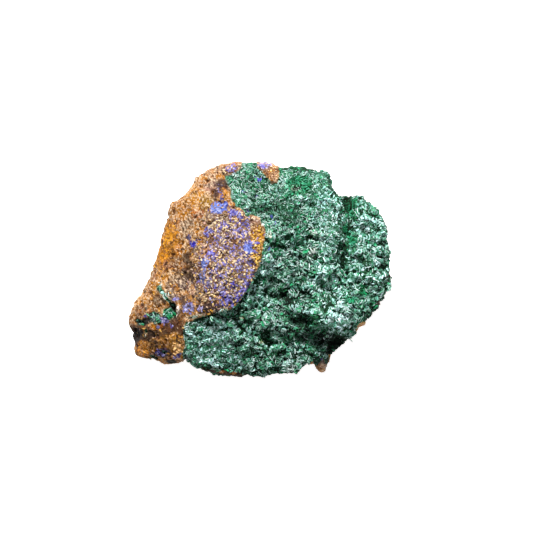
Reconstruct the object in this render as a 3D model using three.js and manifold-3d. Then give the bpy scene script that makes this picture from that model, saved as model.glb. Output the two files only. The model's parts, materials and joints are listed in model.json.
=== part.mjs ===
/**
 * Azurite and malachite specimen: one natural stone, in millimetres, +Z up.
 *
 * The stone lies on its flat broken back with the crystal face up. Its plan outline is a closed curve, its section
 * a rounded slab, and its face a sum of named mounds, ridges and hollows. A plate of limonite and azurite covers
 * the west of the face and ends in a ledge, and the malachite crust lies east and south of it, a step lower.
 * The stone is one body, because its minerals grew together on one piece of rock.
 */
import Module from "manifold-3d";
import * as THREE from "three";
import { ImprovedNoise } from "three/addons/math/ImprovedNoise.js";
import { mergeVertices } from "three/addons/utils/BufferGeometryUtils.js";

// ---- Driving dimensions -------------------------------------------------------------------------------------

const FACE_HEIGHT = 17.5; // from the resting face up to the middle level of the crystal face
const WIDEST_HEIGHT = 8.5; // where the stone is as wide as its plan outline, at the middle of the plan
const WIDEST_TILT = [0.08, 0.03]; // climb of that level for each millimetre east and north
const BACK_DEPTH = -1.3; // mean level of the rough back, before the resting face is cut at zero
const BACK_TAPER = 0.13; // share by which the back is smaller than the outline
const SECTION_POWER = 4.5; // how square the section is: 2 is an ellipse
const SPACING_POWER = 2.5; // shares the mesh between the face and the sides
const RIM_POWER = 7; // how near the rim the exact outline takes over from its smooth mean
const RIM_WINDOW = 26; // bearings either side, in degrees, over which the smooth mean is taken
const MESH_DETAIL = 20; // splits along each edge of the icosahedron that the mesh starts from

const LEDGE_RISE = 1.7; // step from the malachite crust up to the plate
const LEDGE_SLOPE = 2.6; // plan width over which the step rises
const SOUTH_EDGE = -13; // south of this line the crust falls away towards the rim
const SOUTH_FALL = 0.3; // fall for each millimetre south of that line
const WEST_EDGE = -15; // west of this line the flank of the plate falls away
const WEST_FALL = 0.42; // fall for each millimetre west of that line
const SIDE_ROUGHNESS = 1.1; // deepest hollow of the broken sides

const STONE_COLOUR = "#4f8a68"; // malachite green, the stone's main colour
const STONE_ROUGHNESS = 0.85;

/** The plan point from which every part of the outline can be seen. */
const CENTRE = new THREE.Vector2(1.1, 1.4);

/** The plan outline, clockwise from the north-west. */
const OUTLINE = [
  [-7.4, 26.8], [3.1, 26.7], [4.9, 25.8], [9.9, 26.0], [13.6, 25.0], [16.6, 24.9], [17.4, 24.1],
  [18.0, 20.6], [19.8, 18.6], [20.9, 18.1], [23.1, 18.9], [24.9, 18.9], [30.9, 13.4], [31.8, 7.1],
  [32.7, 4.9], [32.3, 1.9], [32.7, -2.1], [31.4, -6.1], [26.2, -13.1], [17.6, -21.5], [13.4, -22.8],
  [10.4, -24.1], [8.9, -25.7], [3.9, -26.0], [1.1, -26.8], [-8.6, -26.5], [-12.1, -25.9],
  [-18.6, -22.4], [-22.4, -23.5], [-26.9, -22.4], [-28.4, -21.6], [-30.4, -21.2], [-31.2, -20.4],
  [-31.3, -17.4], [-32.9, -14.4], [-32.8, -10.9], [-27.6, -2.1], [-27.2, 1.1], [-25.6, 4.9],
  [-24.2, 10.9], [-23.1, 12.9], [-22.9, 15.6], [-18.5, 19.4], [-17.6, 21.5], [-14.9, 24.2],
  [-12.9, 25.4],
];

/** The edge of the plate, from the north rim round the azurite dome to the south rim. */
const PLATE_EDGE = [
  [-4.8, 26.7], [-9.0, 23.3], [-7.1, 16.9], [-3.4, 13.0], [0.6, 11.0], [1.1, 9.7], [0.4, 3.9],
  [-3.0, -4.1], [-6.6, -9.1], [-15.9, -11.5], [-18.4, -12.9], [-19.1, -22.3],
];
const FAR_WEST = [[-60, -40], [-60, 40]];

/** How much of the ledge's full rise the plate has, by the height of its edge on the plan. */
const LEDGE_SHARES = [[26, 0.15], [15, 0.35], [8, 0.8], [-2, 1.15], [-9, 1.5], [-13, 0.6], [-22, 0.3]];

/** Mounds and hollows of the face: plan centre, half widths along its own axes, turn in degrees, and rise. */
const MOUNDS = [
  { name: "azurite dome", at: [-7.4, 2.6], half: [8.5, 13], turn: -14, rise: 2.6 },
  { name: "valley west of the dome", at: [-17.6, 0.5], half: [4.2, 10], turn: 12, rise: -1.5 },
  { name: "north-west shoulder", at: [-13.5, 19], half: [9, 7], turn: 30, rise: 1.0 },
  { name: "corner knob", at: [-25.3, -15], half: [8.5, 8], turn: 0, rise: 3.6 },
  { name: "gap behind the corner knob", at: [-21.6, -8.2], half: [3.0, 6.5], turn: -48, rise: -2.4 },
  { name: "pocket in the corner knob", at: [-22.2, -10.6], half: [2.6, 2.6], turn: 0, rise: -1.6 },
  { name: "trough under the dome", at: [0.6, -5.2], half: [4.2, 9], turn: -32, rise: -1.6 },
  { name: "hollow south of the plate", at: [-11, -14.6], half: [7.5, 3.4], turn: -6, rise: -1.3 },
  { name: "north field", at: [3, 19], half: [9, 8], turn: 0, rise: 0.5 },
  { name: "north-east field", at: [11.5, 21.5], half: [6.5, 5], turn: -25, rise: 1.6 },
  { name: "middle field", at: [9.5, 7], half: [8, 9], turn: 0, rise: 0.9 },
  { name: "notch knob", at: [22.4, 17.0], half: [3.8, 3.2], turn: 0, rise: 1.8 },
  { name: "east lobe", at: [27, 4.5], half: [6.8, 12], turn: 6, rise: 2.0 },
  { name: "south-east shoulder", at: [22.5, -8.5], half: [8, 6], turn: 38, rise: 1.2 },
  { name: "south mound", at: [14.6, -11.6], half: [7.4, 4.6], turn: -8, rise: 3.2 },
  { name: "pit south of the mound", at: [14.4, -17.4], half: [7.6, 3.0], turn: 4, rise: -3.0 },
  { name: "pit beside the mound", at: [9.6, -11.4], half: [2.6, 2.4], turn: 0, rise: -1.8 },
  { name: "south field", at: [-4, -19], half: [10, 5], turn: 0, rise: 0.9 },
];

/** Long ridges and valleys of the crust: plan points, half width, and rise. */
const RIDGES = [
  {
    name: "north-east ridge",
    route: [[11.6, 25.0], [17.0, 19.9], [17.4, 14.6], [17.8, 9.6], [15.8, 2.1]],
    half: 3.6,
    rise: 1.8,
  },
  { name: "long east valley", route: [[20.0, 15.0], [20.8, 8.0], [20.2, 0], [20.6, -5.4]], half: 1.9, rise: -2.3 },
  { name: "cross crease", route: [[4.6, -6.2], [8.2, -5.2], [12.6, -7.0]], half: 1.5, rise: -1.3 },
  { name: "middle crease", route: [[7.4, 7.6], [9.6, 4.4], [10.6, 2.0]], half: 1.4, rise: -0.9 },
  { name: "south crease", route: [[-1.6, -15.4], [4.2, -17.2], [9.4, -16.2]], half: 1.6, rise: -1.0 },
];

/** Broken flats of the lower sides: bearing in degrees, distance from the centre at the widest level, and lean. */
const FRACTURES = [
  { bearing: -38, distance: 26.4, lean: 0.42 },
  { bearing: -86, distance: 26.6, lean: 0.75 },
  { bearing: -128, distance: 28.2, lean: 0.5 },
  { bearing: 163, distance: 27.0, lean: 0.65 },
  { bearing: 118, distance: 25.2, lean: 0.35 },
  { bearing: 72, distance: 24.6, lean: 0.7 },
  { bearing: 12, distance: 30.2, lean: 0.5 },
];

/** The point of bare rock that stands out under the south-east rim. */
const FOOT = { at: [15.2, -21.4, 7.0], half: [2.1, 4.0, 3.6], turn: 8, detail: 4, roughness: 0.16 };

/** Roughness of the face and the back: wave length and height. */
const FACE_ROUGHNESS = [[9, 1.0], [4.6, 0.65], [2.9, 0.35]];
const BACK_ROUGHNESS = [[14, 1.9], [6, 1.0], [3.4, 0.4]];

// ---- Plan geometry ------------------------------------------------------------------------------------------

const OUTLINE_SAMPLES = 720;
const noise = new ImprovedNoise();

/** Points of the smooth closed outline, each as its bearing from the centre and its distance. */
function outlineSpokes() {
  const points = OUTLINE.map(([x, y]) => new THREE.Vector3(x, y, 0));
  const curve = new THREE.CatmullRomCurve3(points, true, "centripetal");
  const spokes = curve.getPoints(OUTLINE_SAMPLES).map((point) => {
    const x = point.x - CENTRE.x;
    const y = point.y - CENTRE.y;
    return { bearing: Math.atan2(y, x), reach: Math.hypot(x, y) };
  });
  return spokes.sort((a, b) => a.bearing - b.bearing);
}

/** The outline's mean distance from the centre near each bearing. */
function smoothSpokes(spokes) {
  const window = THREE.MathUtils.degToRad(RIM_WINDOW);
  return spokes.map(({ bearing }) => {
    let sum = 0;
    let weights = 0;
    spokes.forEach((spoke) => {
      const turn = Math.abs(spoke.bearing - bearing);
      const apart = Math.min(turn, 2 * Math.PI - turn) / window;
      const weight = bell(apart * Math.SQRT2);
      sum += weight * spoke.reach;
      weights += weight;
    });
    return { bearing, reach: sum / weights };
  });
}

/** The outline's distance from the centre on a bearing, between its two nearest spokes. */
function reachAt(spokes, bearing) {
  const after = spokes.findIndex((spoke) => spoke.bearing >= bearing);
  if (after <= 0) {
    return spokes[0].reach;
  }
  const low = spokes[after - 1];
  const high = spokes[after];
  const share = (bearing - low.bearing) / Math.max(high.bearing - low.bearing, 1e-9);
  return THREE.MathUtils.lerp(low.reach, high.reach, share);
}

/** Shortest distance from a plan point to a row of straight pieces. */
function distanceToRoute(x, y, route) {
  let nearest = Infinity;
  for (let i = 1; i < route.length; i += 1) {
    const [ax, ay] = route[i - 1];
    const [bx, by] = route[i];
    const length = Math.hypot(bx - ax, by - ay);
    const along = ((x - ax) * (bx - ax) + (y - ay) * (by - ay)) / (length * length);
    const share = THREE.MathUtils.clamp(along, 0, 1);
    nearest = Math.min(nearest, Math.hypot(x - ax - share * (bx - ax), y - ay - share * (by - ay)));
  }
  return nearest;
}

/** Whether a plan point lies inside a polygon. */
function isInside(x, y, polygon) {
  let inside = false;
  polygon.forEach(([ax, ay], i) => {
    const [bx, by] = polygon[(i + 1) % polygon.length];
    if (ay > y !== by > y && x < ax + ((y - ay) / (by - ay)) * (bx - ax)) {
      inside = !inside;
    }
  });
  return inside;
}

/** A value read off a list of [position, value] pairs whose positions fall. */
function readOff(pairs, position) {
  const after = pairs.findIndex(([at]) => at <= position);
  if (after === 0) {
    return pairs[0][1];
  }
  if (after < 0) {
    return pairs[pairs.length - 1][1];
  }
  const [high, highValue] = pairs[after - 1];
  const [low, lowValue] = pairs[after];
  return THREE.MathUtils.mapLinear(position, high, low, highValue, lowValue);
}

/** A bell that is 1 at zero, near a third at one half width, and flat at both ends. */
function bell(distance) {
  return Math.exp(-distance * distance);
}

/** Sum of noise layers at a point; each layer is a wave length and a height. */
function roughness(x, y, z, layers) {
  return layers.reduce((sum, [wave, height]) => sum + height * noise.noise(x / wave, y / wave, z / wave), 0);
}

// ---- The stone's surfaces -----------------------------------------------------------------------------------

/** Rise of one mound at a plan point. */
function moundRise({ at, half, turn, rise }, x, y) {
  const angle = THREE.MathUtils.degToRad(turn);
  const east = x - at[0];
  const north = y - at[1];
  const along = (east * Math.cos(angle) + north * Math.sin(angle)) / half[0];
  const across = (north * Math.cos(angle) - east * Math.sin(angle)) / half[1];
  return rise * bell(Math.hypot(along, across));
}

/** Rise of the plate above the crust, through its ledge. */
function plateRise(x, y) {
  const gap = distanceToRoute(x, y, PLATE_EDGE);
  const signedGap = isInside(x, y, [...PLATE_EDGE, ...FAR_WEST]) ? gap : -gap;
  const share = THREE.MathUtils.smoothstep(signedGap, -LEDGE_SLOPE / 2, LEDGE_SLOPE / 2);
  return share * LEDGE_RISE * readOff(LEDGE_SHARES, y);
}

/** Height of the crystal face over a plan point. */
function faceHeight(x, y) {
  const mounds = MOUNDS.reduce((sum, mound) => sum + moundRise(mound, x, y), 0);
  const ridges = RIDGES.reduce((sum, { route, half, rise }) => {
    return sum + rise * bell(distanceToRoute(x, y, route) / half);
  }, 0);
  const southFall = SOUTH_FALL * Math.max(0, SOUTH_EDGE - y);
  const westFall = WEST_FALL * Math.max(0, WEST_EDGE - x);
  const rough = roughness(x, y, FACE_HEIGHT, FACE_ROUGHNESS);
  return FACE_HEIGHT + mounds + ridges + plateRise(x, y) - southFall - westFall + rough;
}

/** Height of the rough back under a plan point. */
function backHeight(x, y) {
  return BACK_DEPTH + roughness(x, y, 0, BACK_ROUGHNESS);
}

/** Height at which the stone is as wide as its outline, which climbs to the north-east. */
function widestHeight(x, y) {
  return WIDEST_HEIGHT + WIDEST_TILT[0] * x + WIDEST_TILT[1] * y;
}

/** Pushes a vertex of the lower sides back to the broken flats that it stands out of. */
function trimToFractures(vertex) {
  const drop = Math.max(0, widestHeight(vertex.x, vertex.y) - vertex.z);
  FRACTURES.forEach(({ bearing, distance, lean }) => {
    const angle = THREE.MathUtils.degToRad(bearing);
    const out = (vertex.x - CENTRE.x) * Math.cos(angle) + (vertex.y - CENTRE.y) * Math.sin(angle);
    const excess = drop > 0 ? Math.min(Math.max(0, out - distance + lean * drop), lean * drop) : 0;
    vertex.x -= excess * Math.cos(angle);
    vertex.y -= excess * Math.sin(angle);
  });
}

/** Moves one vertex of a unit sphere to its place on the stone. */
function placeOnStone(vertex, spokes, means) {
  const isBack = vertex.z < 0;
  const lift = Math.abs(vertex.z);
  const share = Math.sqrt(1 - lift ** SPACING_POWER);
  const section = lift ** (SPACING_POWER / SECTION_POWER);
  const bearing = Math.atan2(vertex.y, vertex.x);
  const fullReach = THREE.MathUtils.lerp(reachAt(means, bearing), reachAt(spokes, bearing), share ** RIM_POWER);
  const pitting = SIDE_ROUGHNESS * section * Math.abs(noise.noise(vertex.x * 5, vertex.y * 5, vertex.z * 5));
  const reach = (fullReach - pitting) * share * (isBack ? 1 - BACK_TAPER * section : 1);
  const x = CENTRE.x + reach * Math.cos(bearing);
  const y = CENTRE.y + reach * Math.sin(bearing);
  const end = isBack ? backHeight(x, y) : faceHeight(x, y);
  vertex.set(x, y, THREE.MathUtils.lerp(widestHeight(x, y), end, section));
  trimToFractures(vertex);
}

/** A closed mesh of merged vertices, made from a unit sphere by moving each vertex. */
function shapedSphere(detail, move) {
  const sphere = new THREE.IcosahedronGeometry(1, detail);
  sphere.deleteAttribute("normal");
  sphere.deleteAttribute("uv");
  const geometry = mergeVertices(sphere, 1e-5);
  const positions = geometry.attributes.position;
  const vertex = new THREE.Vector3();
  for (let i = 0; i < positions.count; i += 1) {
    vertex.fromBufferAttribute(positions, i);
    move(vertex);
    positions.setXYZ(i, vertex.x, vertex.y, vertex.z);
  }
  return geometry;
}

/** The stone's surface before its resting face is cut. */
function roughStone() {
  const spokes = outlineSpokes();
  const means = smoothSpokes(spokes);
  return shapedSphere(MESH_DETAIL, (vertex) => placeOnStone(vertex, spokes, means));
}

/** The point of rock under the rim, as a closed mesh that reaches into the stone. */
function rockFoot() {
  const turn = THREE.MathUtils.degToRad(FOOT.turn);
  const place = new THREE.Vector3(...FOOT.at);
  const half = new THREE.Vector3(...FOOT.half);
  const up = new THREE.Vector3(0, 0, 1);
  return shapedSphere(FOOT.detail, (vertex) => {
    const bump = FOOT.roughness * noise.noise(vertex.x * 2, vertex.y * 2, vertex.z * 2);
    vertex.multiply(half).multiplyScalar(1 + bump).applyAxisAngle(up, turn).add(place);
  });
}

// ---- Solids -------------------------------------------------------------------------------------------------

const wasm = await Module();
wasm.setup();

/** A closed geometry of merged vertices as a solid that can be cut. */
function solidFrom(geometry) {
  return new wasm.Manifold(
    new wasm.Mesh({
      numProp: 3,
      vertProperties: new Float32Array(geometry.attributes.position.array),
      triVerts: new Uint32Array(geometry.index.array),
    }),
  );
}

/** The geometry of a solid. */
function geometryFrom(solid) {
  const mesh = solid.getMesh();
  const geometry = new THREE.BufferGeometry();
  geometry.setAttribute("position", new THREE.BufferAttribute(mesh.vertProperties, mesh.numProp));
  geometry.setIndex(new THREE.BufferAttribute(mesh.triVerts, 1));
  geometry.computeVertexNormals();
  return geometry;
}

/** Everything below the resting plane, as a block to cut away. */
function groundBlock() {
  const width = 100;
  const depth = 20;
  const block = new THREE.BoxGeometry(width, width, depth);
  block.translate(0, 0, -depth / 2);
  block.deleteAttribute("normal");
  block.deleteAttribute("uv");
  return mergeVertices(block);
}

/** The whole stone, cut flat where it rests. */
function stone() {
  const solid = solidFrom(roughStone()).add(solidFrom(rockFoot())).subtract(solidFrom(groundBlock()));
  const material = new THREE.MeshStandardMaterial({
    color: STONE_COLOUR,
    roughness: STONE_ROUGHNESS,
    metalness: 0,
  });
  const mesh = new THREE.Mesh(geometryFrom(solid), material);
  mesh.name = "azurite_malachite_stone";
  return mesh;
}

const specimen = new THREE.Group();
specimen.name = "azurite_malachite_specimen";
specimen.add(stone());

export default specimen;
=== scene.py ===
"""Looks of the azurite and malachite specimen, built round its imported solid.

The stone is one natural piece. Its rock body is a finer copy of the solid, with the plate in the west and the
crust in the east and south. Malachite blades and fans grow on the crust, azurite and limonite grains on the
plate and the knob, and coarse rock grains on the broken sides and back.
"""
import itertools
import json
import logging
import math
from dataclasses import dataclass, field
from enum import Enum
from functools import cached_property
from typing import Any, Sequence

import bpy
import numpy as np
from mathutils import Euler, Matrix, Vector

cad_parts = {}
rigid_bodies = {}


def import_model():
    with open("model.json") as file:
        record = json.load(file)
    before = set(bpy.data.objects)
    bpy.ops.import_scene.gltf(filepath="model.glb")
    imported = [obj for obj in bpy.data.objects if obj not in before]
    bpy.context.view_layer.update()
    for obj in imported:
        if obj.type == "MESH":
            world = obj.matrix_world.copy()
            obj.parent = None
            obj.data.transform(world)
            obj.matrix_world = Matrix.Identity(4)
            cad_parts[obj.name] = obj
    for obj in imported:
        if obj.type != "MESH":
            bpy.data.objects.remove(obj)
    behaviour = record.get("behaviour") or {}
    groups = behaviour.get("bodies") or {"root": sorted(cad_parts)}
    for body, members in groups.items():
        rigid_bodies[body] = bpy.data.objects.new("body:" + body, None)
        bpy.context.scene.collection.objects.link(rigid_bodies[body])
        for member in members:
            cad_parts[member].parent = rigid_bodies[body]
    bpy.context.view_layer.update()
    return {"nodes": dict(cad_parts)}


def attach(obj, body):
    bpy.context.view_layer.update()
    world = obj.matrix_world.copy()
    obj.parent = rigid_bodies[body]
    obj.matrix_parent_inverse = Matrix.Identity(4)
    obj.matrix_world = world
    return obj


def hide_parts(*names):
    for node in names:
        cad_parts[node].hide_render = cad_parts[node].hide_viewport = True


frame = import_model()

log = logging.getLogger("specimen")

MM = 0.001
STONE_NODE = "azurite_malachite_stone"
BODY = "root"
BAKE_MAP = "OFBake"

REST_LEVEL = 0.1
"""Height in millimetres below which the stone rests on its back."""
SOFT_EDGE = 0.5
"""Half the width of a swell's edge, as a share of the swell."""
OVAL_WOBBLE = 0.4
"""How far unevenness moves the edge of an oval, as a share of the oval."""

Colour = tuple[float, float, float, float]
PlanPoint = tuple[float, float]
Size = float | tuple[float, float, float]


class Slot(Enum):
    """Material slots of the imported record."""

    CRUST = "malachite_crust"
    PLATE = "azurite_plate"
    ROCK = "limonite_matrix"


class Look(Enum):
    """Finishes of the crops."""

    BLADES = "malachite_blades"
    PLATES = "malachite_plates"
    GRAINS = "plate_grains"


class Kind(Enum):
    """Forms in which the minerals grow."""

    SHEAF = "sheaf"
    BLADE = "blade"
    CHIP = "chip"
    GRAIN = "grain"


# ---- The stone's plan, in millimetres ----

PLATE_EDGE: list[PlanPoint] = [
    (-4.8, 28.0), (-4.8, 25.5), (-6.6, 24.2), (-9.0, 23.3), (-8.4, 21.5), (-7.5, 20.0), (-7.1, 16.9),
    (-6.1, 15.5), (-4.4, 14.6), (-3.4, 13.0), (-2.1, 13.5), (-0.5, 12.8), (0.6, 11.0), (1.1, 9.7),
    (0.8, 7.5), (0.4, 3.9), (-0.8, 1.2), (-1.6, -1.5), (-3.0, -4.1), (-4.8, -6.8), (-6.5, -8.8),
    (-9.2, -9.6), (-12.8, -10.6), (-15.9, -11.6), (-18.4, -12.9), (-19.1, -15.8), (-18.8, -18.9),
    (-19.5, -20.7), (-19.1, -28.0),
]
FAR_WEST: list[PlanPoint] = [(-50.0, -28.0), (-50.0, 28.0)]
ISLAND: list[PlanPoint] = [
    (-0.8, 28.0), (-0.6, 25.5), (1.4, 23.6), (2.9, 21.5), (3.9, 21.9), (4.4, 23.4), (4.3, 28.0),
]


def widest_level(plan: np.ndarray) -> np.ndarray:
    """Height in millimetres at which the stone is as wide as its outline, at each plan point."""
    return 8.5 + 0.08 * plan[:, 0] + 0.03 * plan[:, 1]


# ---- Sums on arrays ----


def smoothstep(value: np.ndarray, low: float, high: float) -> np.ndarray:
    """Smooth climb from 0 at low to 1 at high.

    Args:
        value: Numbers to place between the two ends.
        low: Where the climb starts; it may lie above high, and then it is a fall.
        high: Where the climb ends.

    Returns:
        One share for each value.
    """
    share = np.clip((value - low) / (high - low), 0.0, 1.0)
    return share * share * (3.0 - 2.0 * share)


def tint(code: str) -> Colour:
    """Linear colour of a six-figure display colour.

    Args:
        code: Six hexadecimal figures.

    Returns:
        Red, green, blue and a full alpha.
    """
    shares = [int(code[i : i + 2], 16) / 255 for i in (0, 2, 4)]
    red, green, blue = (s / 12.92 if s <= 0.04045 else ((s + 0.055) / 1.055) ** 2.4 for s in shares)
    return (red, green, blue, 1.0)


def blended(under: np.ndarray, code: str, share: np.ndarray) -> np.ndarray:
    """Colours with another laid on them.

    Args:
        under: One linear colour for each point.
        code: Display colour of the other.
        share: How much of it there is, one number for each point.

    Returns:
        One linear colour for each point.
    """
    return under * (1 - share[:, None]) + share[:, None] * np.array(tint(code))


class Ripple:
    """Smooth seeded noise in space, from about -1 to 1."""

    layer_shift = 17.3
    """Keeps the layers of a sum from matching, in the points' unit."""

    def __init__(self, seed: int) -> None:
        """Draws the noise's slopes.

        Args:
            seed: Seed of every draw.
        """
        draw = np.random.default_rng(seed)
        self.order = np.tile(draw.permutation(256), 3)
        slopes = draw.normal(size=(256, 3))
        self.slopes = slopes / np.linalg.norm(slopes, axis=1, keepdims=True)

    def at(self, points: np.ndarray, wave: Size) -> np.ndarray:
        """Noise at points.

        Args:
            points: One row of x, y, z for each point.
            wave: Wave length in the points' unit, or one for each axis.

        Returns:
            One number for each point.
        """
        place = points / np.asarray(wave)
        low = np.floor(place).astype(np.int64)
        part = place - low
        ease = part**3 * (part * (part * 6 - 15) + 10)
        total = np.zeros(len(points))
        for corner in itertools.product((0, 1), repeat=3):
            cell = (low + corner) & 255
            pick = self.order[self.order[self.order[cell[:, 0]] + cell[:, 1]] + cell[:, 2]]
            weight = np.prod(np.where(corner, ease, 1 - ease), axis=1)
            total += weight * np.einsum("ij,ij->i", self.slopes[pick], part - corner)
        return total * 1.7

    def drift(self, points: np.ndarray, wave: float, shift: int) -> np.ndarray:
        """Three noises that don't match, one for each axis.

        Args:
            points: One row of x, y, z for each point.
            wave: Wave length in the points' unit.
            shift: Sets this drift apart from others.

        Returns:
            One row for each point.
        """
        return np.stack([self.at(points + (shift + step), wave) for step in (0, 20, 40)], axis=1)

    def layers(self, points: np.ndarray, layers: Sequence[tuple[float, float]]) -> np.ndarray:
        """Sum of noise at several wave lengths.

        Args:
            points: One row of x, y, z for each point.
            layers: Wave length and height of each layer.

        Returns:
            One number for each point.
        """
        shifted = [points + self.layer_shift * number for number in range(len(layers))]
        return sum(height * self.at(place, wave) for place, (wave, height) in zip(shifted, layers))


@dataclass(frozen=True)
class CellReading:
    """What random cells say at each point."""

    crack: np.ndarray
    """Distance from the nearest crack between cells, as a share of a cell."""
    chance: np.ndarray
    """A number from 0 to 1 that is the same all over a cell."""
    away: np.ndarray
    """The way from the cell's middle, as shares of a cell."""
    tilt: np.ndarray
    """Height of a slanted face that belongs to the cell, from about -1 to 1."""


class Cells:
    """Seeded random cells in space, with a crack between neighbours."""

    def __init__(self, seed: int) -> None:
        """Draws the cells' middles and slants.

        Args:
            seed: Seed of every draw.
        """
        draw = np.random.default_rng(seed)
        self.order = np.tile(draw.permutation(256), 3)
        self.middles = draw.uniform(size=(256, 3))
        self.slants = draw.uniform(-1, 1, size=(256, 3))

    def at(self, points: np.ndarray, size: Size) -> CellReading:
        """Reads the cells at points.

        Args:
            points: One row of x, y, z for each point.
            size: Size of a cell in the points' unit, or one for each axis.

        Returns:
            The reading, with one value for each point.
        """
        place = points / np.asarray(size)
        low = np.floor(place).astype(np.int64)
        first = np.full(len(points), np.inf)
        second, owner, way = first.copy(), np.zeros(len(points), int), np.zeros((len(points), 3))
        for step in itertools.product((-1, 0, 1), repeat=3):
            cell = low + step
            wrapped = cell & 255
            pick = self.order[self.order[self.order[wrapped[:, 0]] + wrapped[:, 1]] + wrapped[:, 2]]
            away = place - cell - self.middles[pick]
            gap = np.linalg.norm(away, axis=1)
            second = np.minimum(second, np.maximum(first, gap))
            nearer = gap < first
            owner[nearer], way[nearer] = pick[nearer], away[nearer]
            first = np.minimum(first, gap)
        tilt = np.einsum("ij,ij->i", way, self.slants[owner])
        return CellReading(second - first, owner / 255, way, tilt)


def inside_distance(plan: np.ndarray, polygon: Sequence[PlanPoint]) -> np.ndarray:
    """Distance to a polygon's edge, positive inside it.

    Args:
        plan: One row of x, y for each point.
        polygon: Corners, in order.

    Returns:
        One signed distance for each point.
    """
    inside = np.zeros(len(plan), bool)
    nearest = np.full(len(plan), np.inf)
    for (ax, ay), (bx, by) in zip(polygon, [*polygon[1:], polygon[0]]):
        edge = np.array([bx - ax, by - ay])
        offset = plan - (ax, ay)
        along = np.clip(offset @ edge / (edge @ edge), 0, 1)
        nearest = np.minimum(nearest, np.linalg.norm(offset - along[:, None] * edge, axis=1))
        if ay != by:
            crosses = (plan[:, 1] < ay) != (plan[:, 1] < by)
            inside ^= crosses & (plan[:, 0] < ax + (plan[:, 1] - ay) * (bx - ax) / (by - ay))
    return np.where(inside, nearest, -nearest)


@dataclass(frozen=True)
class Oval:
    """An oval area of the stone's plan, in millimetres, with an uneven edge."""

    x: float
    y: float
    wide: float
    tall: float
    turn: float = 0.0

    def cover(self, plan: np.ndarray, unevenness: np.ndarray, edge: float = 0.3) -> np.ndarray:
        """How much of the oval covers each point.

        Args:
            plan: One row of x, y for each point.
            unevenness: Noise that shifts the edge, one number for each point.
            edge: Half the width of the soft edge, as a share of the oval.

        Returns:
            One share for each point.
        """
        angle = math.radians(self.turn)
        east, north = plan[:, 0] - self.x, plan[:, 1] - self.y
        along = (east * math.cos(angle) + north * math.sin(angle)) / self.wide
        across = (north * math.cos(angle) - east * math.sin(angle)) / self.tall
        reach = np.hypot(along, across) + OVAL_WOBBLE * unevenness
        return smoothstep(reach, 1 + edge, 1 - edge)


@dataclass(frozen=True)
class ColourPatch(Oval):
    """An oval area with a colour laid on it: mostly the stone's own colour, for a few painted shade, for a
    few painted light.
    """

    colour: str = "000000"
    strength: float = 1.0
    edge: float = 0.3

    def laid_on(self, under: np.ndarray, plan: np.ndarray, unevenness: np.ndarray) -> np.ndarray:
        """Colours with this one laid on them, one row for each point."""
        return blended(under, self.colour, self.strength * self.cover(plan, unevenness, self.edge))


@dataclass(frozen=True)
class Swell(Oval):
    """An oval area that stands out by some millimetres, or lies deeper."""

    height: float = -1.0


@dataclass(frozen=True)
class Strip:
    """A strip that fades in from its start and out to its end."""

    start: float
    full_from: float
    full_to: float
    end: float

    def cover(self, value: np.ndarray) -> np.ndarray:
        """How much of the strip covers each value."""
        return smoothstep(value, self.start, self.full_from) * smoothstep(value, self.end, self.full_to)


@dataclass(frozen=True)
class Nudge:
    """A small push of the stone's rim, in millimetres."""

    x: float
    y: float
    reach: float
    east: float
    north: float

    def shift(self, plan: np.ndarray) -> np.ndarray:
        """How far each point of the plan is pushed."""
        away = (plan[:, 0] - self.x) ** 2 + (plan[:, 1] - self.y) ** 2
        return np.exp(-away / self.reach**2)[:, None] * (self.east, self.north)


def colour_patches(*rows: tuple[float | str, ...]) -> list[ColourPatch]:
    """Colour patches, a few of them painted shade and painted light, in the order in which they are laid on.
    """
    return [ColourPatch(*row) for row in rows]
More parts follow.
